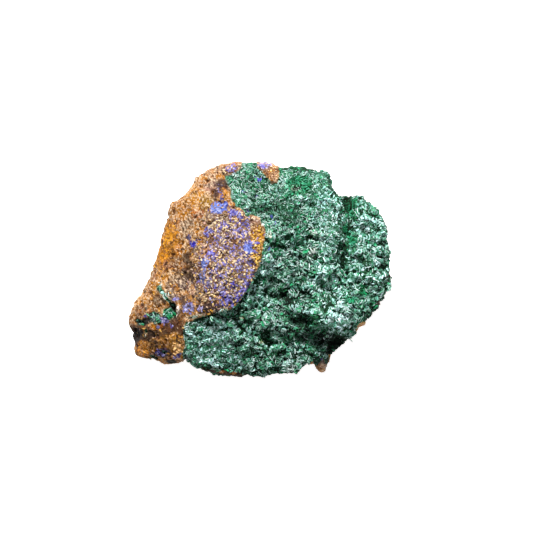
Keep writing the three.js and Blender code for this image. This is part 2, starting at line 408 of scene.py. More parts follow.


# Each row of a colour patch gives its middle, half its width and its height, its turn in degrees and its
# colour. Its strength follows unless it is 1, and the softness of its edge unless it is 0.3.

# Colours of the rock and the plate, laid on in order; a few are painted shade, marked where they stand.
ROCK_STAINS_AND_SHADE = colour_patches(
    (-12.6, 22.6, 6.5, 3.4, 20, "a07a5e", 0.8),
    (-17.2, 19.4, 3.2, 2.6, 20, "b47c14", 0.8),
    (-14.5, 16.6, 3.4, 2.4, 0, "9a7420", 0.8),
    (-19.4, 15.8, 3.0, 2.0, 20, "804806", 0.8),
    (-20.6, 12.0, 1.5, 1.9, 0, "a06c58", 0.8),
    (-22.2, 6.8, 2.6, 5.8, -12, "ac6e00", 0.97),
    (-15.4, 13.7, 1.6, 1.4, 0, "a85800", 0.95),
    (-20.8, 1.4, 3.8, 4.0, -20, "93693c", 0.8),
    (-21.8, -3.6, 4.4, 3.4, -20, "a08468", 0.8),
    (-24.6, 1.4, 1.6, 3.6, -20, "a8703c", 0.7),
    (-23.0, 8.0, 1.4, 2.2, -20, "d09000", 0.97),
    (-23.8, 4.2, 1.4, 2.0, 0, "ca8400", 0.97),
    (-17.6, 3.6, 1.1, 0.8, -30, "6d3a28", 0.9),
    (-9.8, 19.6, 2.3, 3.5, 8, "3c2e34", 0.93),
    (-8.7, 24.2, 1.2, 1.2, 0, "6a5148", 0.8),
    (-12.4, 20.4, 1.6, 1.6, 0, "a17a70", 0.7),
    (-8.8, 17.2, 1.6, 2.4, 6, "a87226", 0.95),
    (-6.4, 25.4, 2.6, 1.4, 10, "b39a9c", 0.9),
    (-17.0, 10.4, 3.0, 2.8, 0, "7d6450", 0.8),
    (-13.0, 11.5, 2.2, 2.8, 0, "6e564a", 0.8),
    (-16.8, 0.8, 3.0, 4.6, 14, "42301f", 0.9),
    (-20.0, 1.4, 2.0, 1.4, 0, "7a4c34", 0.7),
    (-18.6, -5.8, 4.8, 3.4, -10, "6e5e5e", 0.9),
    (-16.6, -7.6, 3.6, 2.0, -10, "443638", 0.94),
    (-19.6, -10.8, 2.0, 1.8, 0, "4a362e", 0.9),
    (-13.6, -5.2, 1.8, 1.4, -20, "5a473c", 0.8),
    (-12.9, 4.6, 1.9, 1.5, 0, "cc9014", 0.95),
    (-20.0, 5.0, 1.3, 1.6, 0, "c47a0c", 0.9),
    (-16.2, 3.0, 1.2, 0.9, -20, "b87c14", 0.9),
    (-6.8, 2.0, 8.2, 11.2, -10, "a08f98", 0.95),
    (-6.6, -1.4, 3.2, 3.4, 0, "c8b488", 0.75),
    (-8.4, 3.0, 3.0, 2.0, 0, "c4a674", 0.6),
    (-7.6, 11.6, 2.4, 1.6, 0, "b4a080", 0.6),
    (-9.2, 12.0, 3.6, 2.6, 0, "96867e", 0.8),
    (-6.2, 7.2, 1.8, 0.8, 10, "a07c5c", 0.7),
    (-2.6, 0.6, 1.4, 3.6, 0, "d8c4a4", 0.8),
    (-0.7, 5.8, 1.7, 5.8, 2, "d8b450", 0.97, 0.2),
    (-0.9, 8.8, 1.6, 1.6, 0, "cc9818", 0.9),
    (-1.2, 12.2, 2.0, 1.2, 0, "b09ca0", 0.9),
    (-12.6, 0.8, 0.9, 1.0, 0, "c68c1e", 0.8),
    (-13.4, -7.8, 4.6, 2.4, -18, "7c675a", 0.9),
    # Darker south rim of the plate, with painted shade where its edge rounds over.
    (-10.6, -9.6, 4.8, 2.0, -14, "3a2a30", 0.92),
    # Painted shadow: a dark line under the plate's south edge.
    (-10.8, -10.4, 4.4, 0.9, -10, "1c1416", 0.95),
    # Dark purple edge of the plate, darkened further as painted shadow where it meets the crust.
    (-6.8, -7.4, 3.2, 1.7, -34, "2c2228", 0.92),
    (-17.0, -11.6, 1.6, 0.8, -12, "b48848", 0.9),
    (-26.0, -14.8, 8.0, 8.2, 0, "66432a", 0.97),
    (-29.0, -9.0, 2.0, 1.6, 40, "a07a62", 0.5),
    (-22.4, -14.2, 2.8, 1.8, 0, "4c2e18", 0.8),
    (-23.4, -19.0, 5.0, 3.4, 0, "8a5a22", 0.8),
    (-20.4, -18.4, 1.8, 3.0, 0, "f0bc74", 0.97),
    (-27.2, -7.6, 2.4, 3.8, -40, "96662a", 0.85),
    (-21.6, -9.6, 1.6, 1.6, 0, "6c564c", 0.7),
    (-30.4, -11.4, 1.6, 2.2, -20, "7c4e1e", 0.8),
    (-25.8, -7.4, 1.0, 1.6, 20, "3b2a1d", 0.6),
    (-20.9, -14.0, 2.2, 2.6, 0, "542e10", 0.85),
    (-21.2, -17.0, 2.4, 1.6, 0, "d89a34", 0.92),
    (-25.8, -13.5, 2.0, 1.1, 8, "a05c1a", 0.97, 0.2),
    (-27.4, -16.0, 2.4, 1.2, 10, "3c2612", 0.8),
    (-25.0, -18.4, 2.4, 1.4, 30, "8a5c1c", 0.8),
    (-20.2, -19.4, 1.5, 2.0, 0, "f4c684", 0.97),
    (-29.4, -19.7, 1.8, 2.2, 0, "b46a00", 0.97, 0.2),
    # Painted shade on the knob's south-west slope, which faces away from the light.
    (-31.0, -16.2, 1.8, 2.2, -20, "120a04", 0.97, 0.4),
    (-29.0, -16.6, 1.2, 0.8, 0, "402812", 0.8),
    (-26.5, -15.9, 1.6, 0.9, -30, "3a2c24", 0.4),
    (-28.2, -12.6, 2.6, 0.9, 20, "26292a", 0.95, 0.2),
    (-29.6, -12.9, 1.0, 0.6, 0, "39594a", 0.9),
    (-28.5, -15.2, 0.5, 0.8, 0, "b4d3c5", 1.0, 0.2),
    (-25.9, -11.5, 1.7, 1.6, 0, "36544a", 0.97, 0.2),
    # Painted shade: near black laid in the hollow that a swell cuts here.
    (-21.3, -9.9, 1.1, 2.0, 10, "0c0f0c", 1.0, 0.2),
    (-22.6, -10.5, 1.5, 1.4, 0, "74a896", 1.0, 0.2),
    (-25.0, -4.6, 1.1, 0.8, -40, "62897a", 0.95, 0.2),
    (-23.9, -6.0, 2.2, 0.35, -56, "9accb8", 1.0, 0.25),
    (-22.6, -5.6, 1.4, 0.5, -52, "4a3a30", 0.8),
    # Painted shadow along the lower side of the pale vein.
    (-24.2, -7.2, 1.6, 0.35, -52, "1c1610", 0.8),
    (-20.3, -9.8, 0.34, 1.7, -8, "ffffff", 1.0, 0.2),
    (-24.2, -20.6, 2.3, 1.2, 6, "39303a", 0.9),
    (-26.8, -21.8, 1.0, 0.5, -20, "7fa391", 0.9),
    (-22.3, -22.9, 1.5, 0.6, 0, "14201b", 0.95),
    (-15.4, -11.1, 2.6, 0.4, 16, "a3bfb4", 1.0, 0.2),
    (1.9, 25.0, 3.2, 4.4, 0, "cca27c", 0.97),
    (2.6, 24.6, 0.8, 0.8, 0, "c98c30", 0.9),
    (0.8, 26.0, 2.2, 1.4, 0, "a69cb4", 0.9),
    (-9.4, -25.6, 6.0, 1.2, -9, "2b2419", 0.95),
    (-6.6, -25.6, 0.6, 0.5, 0, "c07416", 1.0, 0.2),
    (-9.6, -25.2, 0.5, 0.4, 0, "a86414", 1.0, 0.2),
    (15.6, -24.8, 3.0, 3.0, 0, "bd9480"),
    (15.0, -22.8, 1.8, 0.5, -20, "37304a", 0.9),
    (16.8, -23.6, 0.4, 1.4, -30, "3a2f33", 0.8),
    (25.0, -14.0, 2.6, 1.6, 42, "dcb878"),
)

# Colours of the malachite over the crust, laid on in order. A few are painted shade and a few painted
# light, marked where they stand.
CRUST_STAINS_SHADE_AND_LIGHT = colour_patches(
    (-2.4, 19.5, 4.8, 6.5, 0, "488468", 0.85),
    (-2.0, 26.0, 3.0, 1.6, 0, "5c9882", 0.9),
    (-2.6, 22.4, 1.6, 1.1, 0, "2c5c46", 0.85),
    (-5.6, 17.6, 1.4, 2.0, 0, "8fc9b5", 0.8),
    (4.4, 20.0, 2.0, 2.4, 0, "80ae9e", 0.9),
    (10.2, 20.2, 4.0, 3.2, -20, "208c58", 0.8),
    (10.0, 25.6, 4.6, 1.4, -6, "156a42", 0.9),
    (8.6, 20.2, 1.2, 0.8, 0, "5b5a48", 0.8),
    (4.4, 16.2, 2.0, 1.6, 0, "2c6a4a", 0.8),
    (1.2, 13.4, 1.9, 1.4, 0, "357058", 0.85),
    (0.8, 16.8, 1.4, 1.2, 0, "94ccb8", 0.8),
    (7.6, 10.6, 2.2, 1.5, 0, "2a5a46", 0.8),
    (11.4, 7.4, 1.4, 1.4, 0, "3a6c56", 0.7),
    (14.8, 24.6, 2.0, 1.6, -10, "84bdaa", 0.9),
    (11.9, 16.4, 2.8, 1.8, -30, "ccece0", 0.9),
    (14.6, 15.6, 2.0, 1.8, -30, "bfe2d6", 0.85),
    (7.9, 16.8, 1.6, 1.2, 0, "8cc4ae", 0.8),
    (13.4, 19.2, 1.6, 2.0, 0, "7cb8a2", 0.6),
    (17.0, 14.6, 3.6, 5.4, -10, "a8d6c8", 0.9),
    (16.4, 9.4, 2.8, 5.4, 0, "84ac9e", 0.9),
    (16.4, 2.0, 3.6, 5.0, 0, "a8cec2", 0.9),
    (15.6, -2.0, 3.4, 2.6, 0, "c8e4dc", 0.95),
    (1.2, -8.0, 1.6, 1.2, 0, "6fa08c", 0.7),
    (-0.8, -19.2, 3.6, 1.8, 0, "9cccb8", 0.9),
    (7.0, 13.6, 4.4, 2.0, -6, "225c42", 0.85),
    (6.4, 8.4, 4.6, 2.0, -24, "58907a", 0.8),
    (8.4, 1.4, 5.0, 4.4, -20, "4b806a", 0.8),
    (8.0, 6.8, 1.6, 1.4, 0, "7cb09c", 0.8),
    # Pale crust beside the plate, made paler still as painted light where the plate's ledge shades it.
    (1.2, 1.2, 1.9, 3.4, 0, "d8f0e8", 0.94),
    (1.9, 5.4, 1.6, 3.0, 0, "98c4b4", 0.85),
    (-1.6, -5.0, 2.2, 3.0, -40, "b0d4c8", 0.9),
    # Darker malachite over a hollow of the swells, deepened with painted shade.
    (4.2, -4.4, 3.2, 2.0, -40, "2a5440", 0.8),
    # Darker malachite over a hollow of the swells, deepened with painted shade.
    (7.4, -9.6, 5.4, 4.4, -20, "2b5842", 0.85),
    (9.4, -16.0, 3.6, 1.8, -6, "1d4431", 0.85),
    (11.9, -9.8, 5.0, 1.9, -8, "98c4b4", 0.75),
    # Darker malachite over a hollow of the swells, deepened with painted shade.
    (11.2, -7.0, 1.8, 1.4, 0, "3f6b58", 0.85),
    (4.4, -7.8, 1.4, 1.4, 0, "7cac9a", 0.7),
    (18.4, -6.0, 2.4, 2.6, 0, "b4d8cc", 0.85),
    (22.4, -8.6, 1.8, 1.4, 0, "a8d0c2", 0.8),
    (24.6, 0.4, 2.4, 2.6, 0, "cceae0", 0.9),
    (15.2, 1.4, 2.0, 1.8, 0, "cceae0", 0.9),
    (18.4, 10.8, 1.6, 2.2, 0, "b8dccf", 0.8),
    (18.4, 13.8, 1.4, 1.6, 0, "c4e6dc", 0.85),
    (21.8, 11.4, 1.4, 1.4, 0, "9cccb8", 0.8),
    (21.4, 10.0, 1.2, 1.7, 6, "178454", 0.9),
    (22.6, 7.4, 1.3, 1.3, 40, "1d9460", 0.85),
    (22.7, 13.4, 0.9, 1.1, 30, "117044", 0.85),
    (25.4, 13.6, 1.6, 1.6, 0, "c4e6dc", 0.85),
    (21.0, 5.4, 1.0, 0.8, 0, "1a8a58", 0.8),
    (22.2, 3.6, 1.6, 1.6, 0, "c4e6dc", 0.9),
    (21.9, 16.4, 1.8, 2.0, 0, "1a7a4c", 0.9),
    (27.4, 11.6, 4.0, 5.0, 0, "a8d4c6", 0.9),
    (22.2, 1.2, 1.4, 2.0, 0, "98c8b6", 0.8),
    (25.4, -4.6, 1.7, 1.6, 0, "086038", 0.95),
    (21.9, -4.4, 1.5, 1.7, 0, "b8e0d4", 0.85),
    (22.0, -7.4, 1.6, 1.0, 20, "128050", 0.85),
    (25.2, -0.6, 2.4, 2.2, 0, "d4ece4", 0.95),
    (29.4, -2.6, 2.8, 5.4, 0, "d8f0e8", 0.94),
    (31.4, 2.0, 1.6, 9.0, 0, "98c8b4", 0.7),
    # Painted light: pale patches that lift the shaded slope towards the south-east rim.
    (17.4, -12.6, 4.0, 5.0, 20, "d0ebe2", 0.94),
    (18.9, -13.8, 3.0, 1.8, 20, "e0f4ee", 0.94),
    (14.4, -11.8, 1.8, 1.8, 0, "79b59c", 0.9),
    # Painted shadow in the hollow south of the mound.
    (15.0, -16.6, 5.6, 1.7, -8, "22463a", 0.8),
    (18.4, -19.4, 2.6, 1.6, 30, "1d3b2b", 0.8),
    (-12.4, -15.4, 5.6, 3.4, 0, "acd6c8", 0.9),
    (-10.8, -21.6, 6.8, 2.8, -16, "c4e8dc", 0.94),
    (-5.0, -13.9, 3.6, 2.2, 0, "acd6c8", 0.75),
    (-9.4, -16.6, 1.8, 1.6, 0, "c8e8de", 0.85),
    # Painted shadow at the plate's south-west edge.
    (-16.8, -13.3, 1.6, 1.3, 0, "2c5646", 0.85),
    (-12.9, -13.2, 1.6, 1.1, 0, "c4e6dc", 0.8),
    (-17.6, -18.2, 1.2, 4.2, 0, "b4dccc", 0.95),
    (-17.2, -21.6, 1.4, 1.2, 0, "2d5646", 0.8),
    (1.4, -13.2, 5.4, 2.4, -10, "5c8c78", 0.75),
    (0.8, -16.6, 1.6, 1.4, 0, "8cbaa8", 0.8),
    (1.8, -21.6, 4.0, 2.0, 0, "4a8069", 0.8),
    (0.6, -19.6, 1.8, 1.4, 0, "a0ccbc", 0.85),
    (8.6, -22.0, 3.6, 1.8, 10, "8fb0a2", 0.8),
    (7.6, -24.0, 1.4, 1.0, 0, "b39a92", 0.6),
    (-9.6, -25.0, 5.0, 1.0, -9, "24382e", 0.9),
    (25.4, 5.8, 1.8, 1.8, 0, "6ca48e", 0.8),
    (-0.4, -24.4, 2.2, 1.0, 0, "5f9a80", 0.7),
    (13.4, 8.4, 1.4, 1.2, 0, "97897b", 0.8),
    (13.0, 4.4, 0.9, 1.6, 0, "968676", 0.7),
    (15.2, 4.4, 1.6, 1.4, 0, "7ca898", 0.8),
    (4.2, 4.6, 1.6, 1.8, 0, "3c6a56", 0.85),
    (7.9, 7.4, 1.4, 1.4, 0, "b0d8cc", 0.85),
    (12.6, 9.6, 0.8, 0.8, 0, "a29a8a", 0.7),
    (31.9, -1.2, 1.3, 0.7, 10, "8c3420", 1.0, 0.2),
    (29.8, -8.0, 1.2, 0.3, 10, "8a4a32", 1.0, 0.2),
    (24.9, -14.0, 2.0, 0.8, 40, "cba46a", 1.0, 0.2),
    # Painted shadow under the plate's south lip.
    (-8.0, -11.6, 3.4, 0.8, -14, "182a22", 0.8),
    (0.4, -17.6, 0.45, 0.4, 0, "d08a20", 1.0, 0.2),
    (-4.3, -11.4, 0.35, 0.35, 0, "c0782c", 1.0, 0.2),
    (2.4, 8.6, 0.5, 0.7, 0, "c9aa86", 0.9, 0.2),
    (-26.2, -11.5, 2.4, 2.0, 0, "4a6c60", 1.0, 0.2),
    (-26.9, -12.2, 0.9, 0.7, 0, "26332c", 0.9),
    (-29.8, -12.9, 1.8, 1.0, 0, "2f4f44", 1.0, 0.2),
    (-28.4, -15.0, 0.8, 1.1, 0, "b9d8ca", 1.0, 0.2),
    (-22.6, -10.5, 2.2, 2.0, 0, "86bcaa", 1.0, 0.2),
    (-22.0, -11.4, 0.8, 0.6, 20, "15804c", 1.0, 0.2),
    (-22.6, -10.4, 0.8, 0.4, -40, "1c3a2c", 0.9),
    (-25.0, -4.4, 1.2, 0.9, -40, "55776a", 1.0, 0.2),
    (-23.2, -6.6, 2.4, 0.8, -53, "8cc2ae", 1.0, 0.2),
    (-24.0, -20.3, 1.0, 0.8, 0, "6d9484", 1.0, 0.2),
)

# Where azurite grows on the plate, how thickly, and its colour there.
AZURITE_STAINS = colour_patches(
    (-7.4, 2.2, 6.6, 10.8, -10, "7a7096", 0.26),
    (-4.0, 9.8, 1.4, 2.4, -10, "7770b4", 0.55),
    (-2.8, 5.4, 1.3, 1.5, 0, "6274bc", 0.9),
    (-2.5, 1.4, 0.9, 2.4, -8, "7c78c4", 0.5),
    (-2.9, -2.6, 0.9, 1.8, -20, "665eb0", 0.65),
    (-4.5, -5.7, 1.0, 2.2, -42, "4d45a4", 0.7),
    (-9.0, -6.0, 1.5, 1.3, 0, "5048a0", 0.45),
    (-8.2, -7.6, 2.0, 0.8, -14, "4a4098", 0.55),
    (-8.6, 10.8, 1.4, 1.0, 0, "5d54a0", 0.55),
    (-10.3, 15.2, 1.6, 1.6, 0, "6478b8", 0.92),
    (-8.9, 15.6, 1.3, 1.4, -30, "5266b2", 0.85),
    (-6.8, 14.0, 1.2, 0.9, -30, "5a52ac", 0.7),
    (-5.0, 13.2, 0.8, 1.4, 30, "6a70bc", 0.65),
    (-7.0, 25.4, 1.5, 0.9, 20, "7068ac", 0.6),
    (-9.9, 19.8, 0.6, 1.8, 0, "3a3450", 0.5),
    (-9.4, 17.8, 0.7, 1.0, 0, "403b5c", 0.5),
    (-16.5, 6.4, 0.8, 1.0, -30, "24189a", 0.95, 0.2),
    (-17.6, 8.0, 0.6, 0.9, 10, "3c3560", 0.8),
    (-15.4, 7.4, 0.9, 0.6, 0, "3d3a54", 0.6),
    (-12.9, 9.6, 0.9, 1.1, 0, "3f3788", 0.8),
    (-11.9, 3.9, 1.2, 0.9, 0, "5f57b4", 0.75),
    (-13.4, 1.6, 1.0, 1.4, -8, "6478b8", 0.85),
    (-13.9, -1.2, 0.9, 1.6, -10, "5c70b0", 0.8),
    (-6.6, -3.4, 0.6, 0.9, 0, "4a3fa0", 0.9),
    (-17.6, -9.2, 1.5, 1.3, 0, "8180ac", 0.72, 0.4),
    (-14.6, -9.4, 0.8, 0.6, 0, "9085a4", 0.8, 0.2),
    (-20.8, -7.0, 0.8, 0.5, 0, "7f7cc0", 0.9, 0.15),
    (-13.0, -3.8, 1.0, 0.7, -20, "5a5378", 0.7),
    (0.8, 26.2, 2.0, 1.2, 0, "8a84ba", 0.6),
    (-23.9, -12.2, 1.4, 0.9, -10, "352f5c", 0.9),
    (-22.0, -13.7, 0.8, 0.6, -20, "6a5fa0", 0.6),
    (-25.2, -14.0, 0.4, 0.4, 0, "2b1f70", 0.9),
    (-28.6, -11.4, 0.5, 0.5, 0, "4c4078", 0.8),
    (-24.6, -20.4, 1.7, 0.9, 10, "352a78", 0.85),
    (-20.8, -21.2, 0.9, 0.6, 30, "3c3288", 0.8),
)

# Specks of azurite in the malachite.
AZURITE_SPECKS: list[PlanPoint] = [
    (-4.1, 19.4), (-1.0, 18.2), (-3.1, 14.6), (2.6, 13.4), (3.5, 11.5),
    (2.2, 5.0), (-0.9, 23.0), (-0.4, 22.6), (-6.4, 23.8), (15.2, -22.2),
]

# Where the plate is coarse with grains.
DOMES = [Oval(-6.6, 2.6, 9.5, 13.0, -10), Oval(1.9, 24.4, 2.4, 3.2), Oval(-7.0, 25.2, 3.0, 1.8, 10)]

# Where the knob begins, along the x axis. The crust is thinner west of it.
KNOB_FROM = -20.0

# Where the crust is even, with small crystals.
CALM = [Oval(5.0, 19.0, 17.0, 9.0, -8), Oval(-12.0, -19.0, 8.0, 4.0), Oval(17.4, 12.0, 4.0, 8.0)]

# Crust that is banked up against the plate's south edge.
BANK = Oval(-12.4, -13.4, 6.8, 3.0, -8)

# Where the plate's colours are full, and how much less pale clay lies over them.
RICH = {
    Oval(-11.2, -10.2, 4.6, 1.2, -8): 0.8,
    Oval(-8.6, -7.8, 3.4, 1.4, -24): 0.5,
    Oval(-16.8, -7.4, 2.4, 1.7): 0.6,
    Oval(-26.6, -18.4, 8.0, 5.0): 0.65,
    Oval(-23.2, 5.4, 2.4, 6.4, -12): 0.85,
    Oval(-12.8, 4.8, 1.6, 1.3): 0.85,
    Oval(-0.8, 6.0, 1.8, 5.6): 0.7,
    Oval(-16.8, 0.4, 1.8, 2.4): 0.6,
    Oval(-9.8, 19.4, 1.8, 2.8): 0.6,
}

# Where the crust leaves bare rock.
BARE = [Oval(-9.4, -25.4, 5.2, 0.7, -9), Oval(15.5, -24.8, 1.3, 2.4), Oval(25.0, -14.0, 1.6, 0.9, 42)]

# Malachite that grows on the knob, apart from the crust.
SPOTS = [
    Oval(-22.6, -10.6, 1.4, 1.4), Oval(-23.4, -6.3, 3.2, 0.42, -53), Oval(-25.0, -4.4, 0.8, 0.7, -50),
    Oval(-26.2, -11.5, 1.5, 1.2), Oval(-29.8, -12.9, 1.3, 0.5, -10), Oval(-28.4, -15.0, 0.5, 0.5),
    Oval(-24.0, -20.3, 0.7, 0.5), Oval(-26.8, -21.8, 1.0, 0.4, -20),
]

# Parts of the rim that stand a little further out or in.
NUDGES = [
    Nudge(-30.2, -20.2, 2.4, -0.9, -0.9), Nudge(-16.0, -23.0, 1.7, -0.9, -1.0),
    Nudge(-17.2, 21.8, 1.8, 0.7, -0.8), Nudge(8.2, -25.6, 2.4, 0.0, -0.5),
    Nudge(-10.8, -26.2, 2.6, 0.0, -0.5), Nudge(15.4, -25.2, 1.2, 0.0, -0.6),
    Nudge(24.6, 17.6, 3.0, -0.4, -0.3), Nudge(-29.6, -5.0, 3.0, 0.2, -0.1),
    Nudge(20.4, -18.0, 2.4, -0.3, 0.3), Nudge(-32.6, -13.4, 1.6, -0.3, 0.0),
    Nudge(18.2, -22.4, 1.6, -0.8, 0.5), Nudge(28.6, 12.0, 2.4, -0.3, -0.2),
    Nudge(25.2, -14.4, 1.4, -0.5, 0.4),
]

# Hollows, cracks and lumps finer than the solid's own.
SWELLS = [Swell(*row) for row in (
    (15.4, -16.9, 5.6, 1.8, -6, -1.2),
    (18.0, -19.2, 3.2, 1.4, 30, -0.8),
    (10.4, -12.6, 2.0, 1.6, 0, -2.0),
    (7.6, 7.6, 2.2, 1.7, 0, 1.2),
    (0.6, 2.0, 1.2, 6.0, 0, 0.5),
    (15.0, -11.4, 5.4, 2.6, -10, 0.7),
    (4.0, -4.4, 2.8, 1.5, -40, -0.8),
    (15.2, -1.4, 2.6, 2.0, 0, 1.2),
    (27.0, -0.8, 2.6, 2.6, 0, 0.7),
    (11.2, -7.0, 1.5, 1.1, 0, -0.7),
    (11.4, 6.4, 1.2, 1.0, 0, -0.5),
    (17.4, -14.2, 3.0, 2.4, 20, 0.6),
    (7.5, -9.5, 4.5, 3.4, -20, -0.5),
    (6.4, -6.4, 1.9, 0.8, -30, -0.9),
    (8.6, 5.1, 2.8, 0.4, -63, -0.8),
    (-5.1, -18.2, 1.7, 0.5, 0, -0.8),
    (2.0, -17.4, 3.0, 0.55, -57, -0.9),
    (-1.8, -21.4, 3.2, 0.8, -75, -1.0),
    (23.6, -2.9, 1.0, 0.8, 0, -0.9),
    (20.4, 0.4, 0.5, 2.6, 4, -1.0),
    (20.2, 6.4, 0.7, 8.0, 2, -0.7),
    (21.5, 16.4, 1.5, 2.2, 0, -1.8),
    (-0.4, 23.4, 1.9, 0.4, -51, -1.0),
    (12.4, 15.9, 0.6, 0.5, 0, -0.7),
    (12.6, 7.9, 2.4, 0.4, -8, -0.7),
    (10.8, 2.4, 2.6, 0.4, -30, -0.8),
    (9.5, -0.2, 1.4, 0.45, 20, -0.8),
    (11.6, -2.0, 1.6, 0.5, -45, -0.9),
    (15.1, -4.0, 2.0, 0.45, -25, -0.8),
    (9.4, -5.1, 2.6, 0.5, -15, -1.0),
    (0.6, -1.6, 1.9, 0.5, -15, -0.7),
    (1.6, 14.6, 2.6, 0.5, 10, -0.7),
    (-10.9, -16.4, 2.0, 1.6, 10, 0.5),
    (-5.4, -16.0, 1.4, 1.6, 0, 0.5),
    (-21.3, -9.9, 0.8, 1.7, 10, -2.2),
    (-22.6, -10.8, 1.2, 1.1, 0, 0.6),
    (-23.4, -6.3, 3.0, 0.4, -53, 0.4),
    (-24.4, -7.2, 1.8, 0.4, -52, -0.5),
    (-25.8, -13.5, 2.0, 1.2, 8, 0.7),
    (-26.5, -15.8, 1.6, 0.8, -30, -0.4),
    (-28.4, -12.6, 2.4, 0.8, 20, -0.7),
    (-31.2, -15.8, 1.7, 1.4, -40, -1.1),
    (-25.9, -11.7, 1.4, 1.3, 0, 0.3),
    (-16.6, -0.4, 2.6, 4.0, 14, -0.5),
    (-6.0, 6.4, 2.4, 0.9, 10, -0.4),
    (-14.0, -5.4, 3.0, 0.5, -30, -0.5),
)]

# Strips along the plate's uneven edge, in millimetres, with the plate on the positive side.
LIP = Strip(0.0, 0.5, 0.9, 2.4)
OVERHANG = Strip(-0.15, 0.15, 0.3, 1.6)
NORTH_RIM = Strip(-1.0, -0.6, -0.2, 0.1)
PALE_RIM = Strip(-0.75, -0.5, -0.1, 0.1)
GROOVE = Strip(-2.0, -0.8, -0.5, -0.1)

# How far the crust's sides may face up or down and still grow scales, from -1 for down to 1 for up.
SKIRT = Strip(-0.6, -0.1, 0.7, 0.95)


def swollen(plan: np.ndarray, unevenness: np.ndarray) -> np.ndarray:
    """Height of the swells and hollows at points of the plan, in millimetres."""
    return sum(swell.height * swell.cover(plan, unevenness, SOFT_EDGE) for swell in SWELLS)


# ---- Node trees ----


class Wire:
    """An output socket that can be used in sums and products."""

    def __init__(self, sheet: "Sheet", socket: bpy.types.NodeSocket) -> None:
        """Keeps the socket with the sheet that it is on."""
        self.sheet = sheet
        self.socket = socket

    def __add__(self, other: "Wire | float") -> "Wire":
        """Sum."""
        return self.sheet.maths("ADD", self, other)

    __radd__ = __add__

    def __sub__(self, other: "Wire | float") -> "Wire":
        """Difference."""
        return self.sheet.maths("SUBTRACT", self, other)

    def __rsub__(self, other: float) -> "Wire":
        """Difference from a number."""
        return self.sheet.maths("SUBTRACT", other, self)

    def __mul__(self, other: "Wire | float") -> "Wire":
        """Product."""
        return self.sheet.maths("MULTIPLY", self, other)

    __rmul__ = __mul__

    def between(self, low: float, high: float) -> "Wire":
        """Smooth share of the way from low to high.

        Args:
            low: Value that gives 0.
            high: Value that gives 1.

        Returns:
            The share.
        """
        settings = {"interpolation_type": "SMOOTHSTEP"}
        inputs = {"Value": self, "From Min": low, "From Max": high}
        return self.sheet.node("ShaderNodeMapRange", settings, inputs)["Result"]


class Outputs:
    """Outputs of a node, by name."""

    def __init__(self, sheet: "Sheet", node: bpy.types.Node) -> None:
        """Keeps the node with the sheet that it is on."""
        self.sheet = sheet
        self.node = node

    def __getitem__(self, name: str | int) -> Wire:
        """The output of that name or number, of those that are in use.

        Args:
            name: What the output is called, or its place among them.

        Returns:
            The output as a wire.
        """
        if isinstance(name, int):
            return Wire(self.sheet, self.node.outputs[name])
        found = [s for s in self.node.outputs if s.name == name and s.enabled]
        return Wire(self.sheet, found[0])


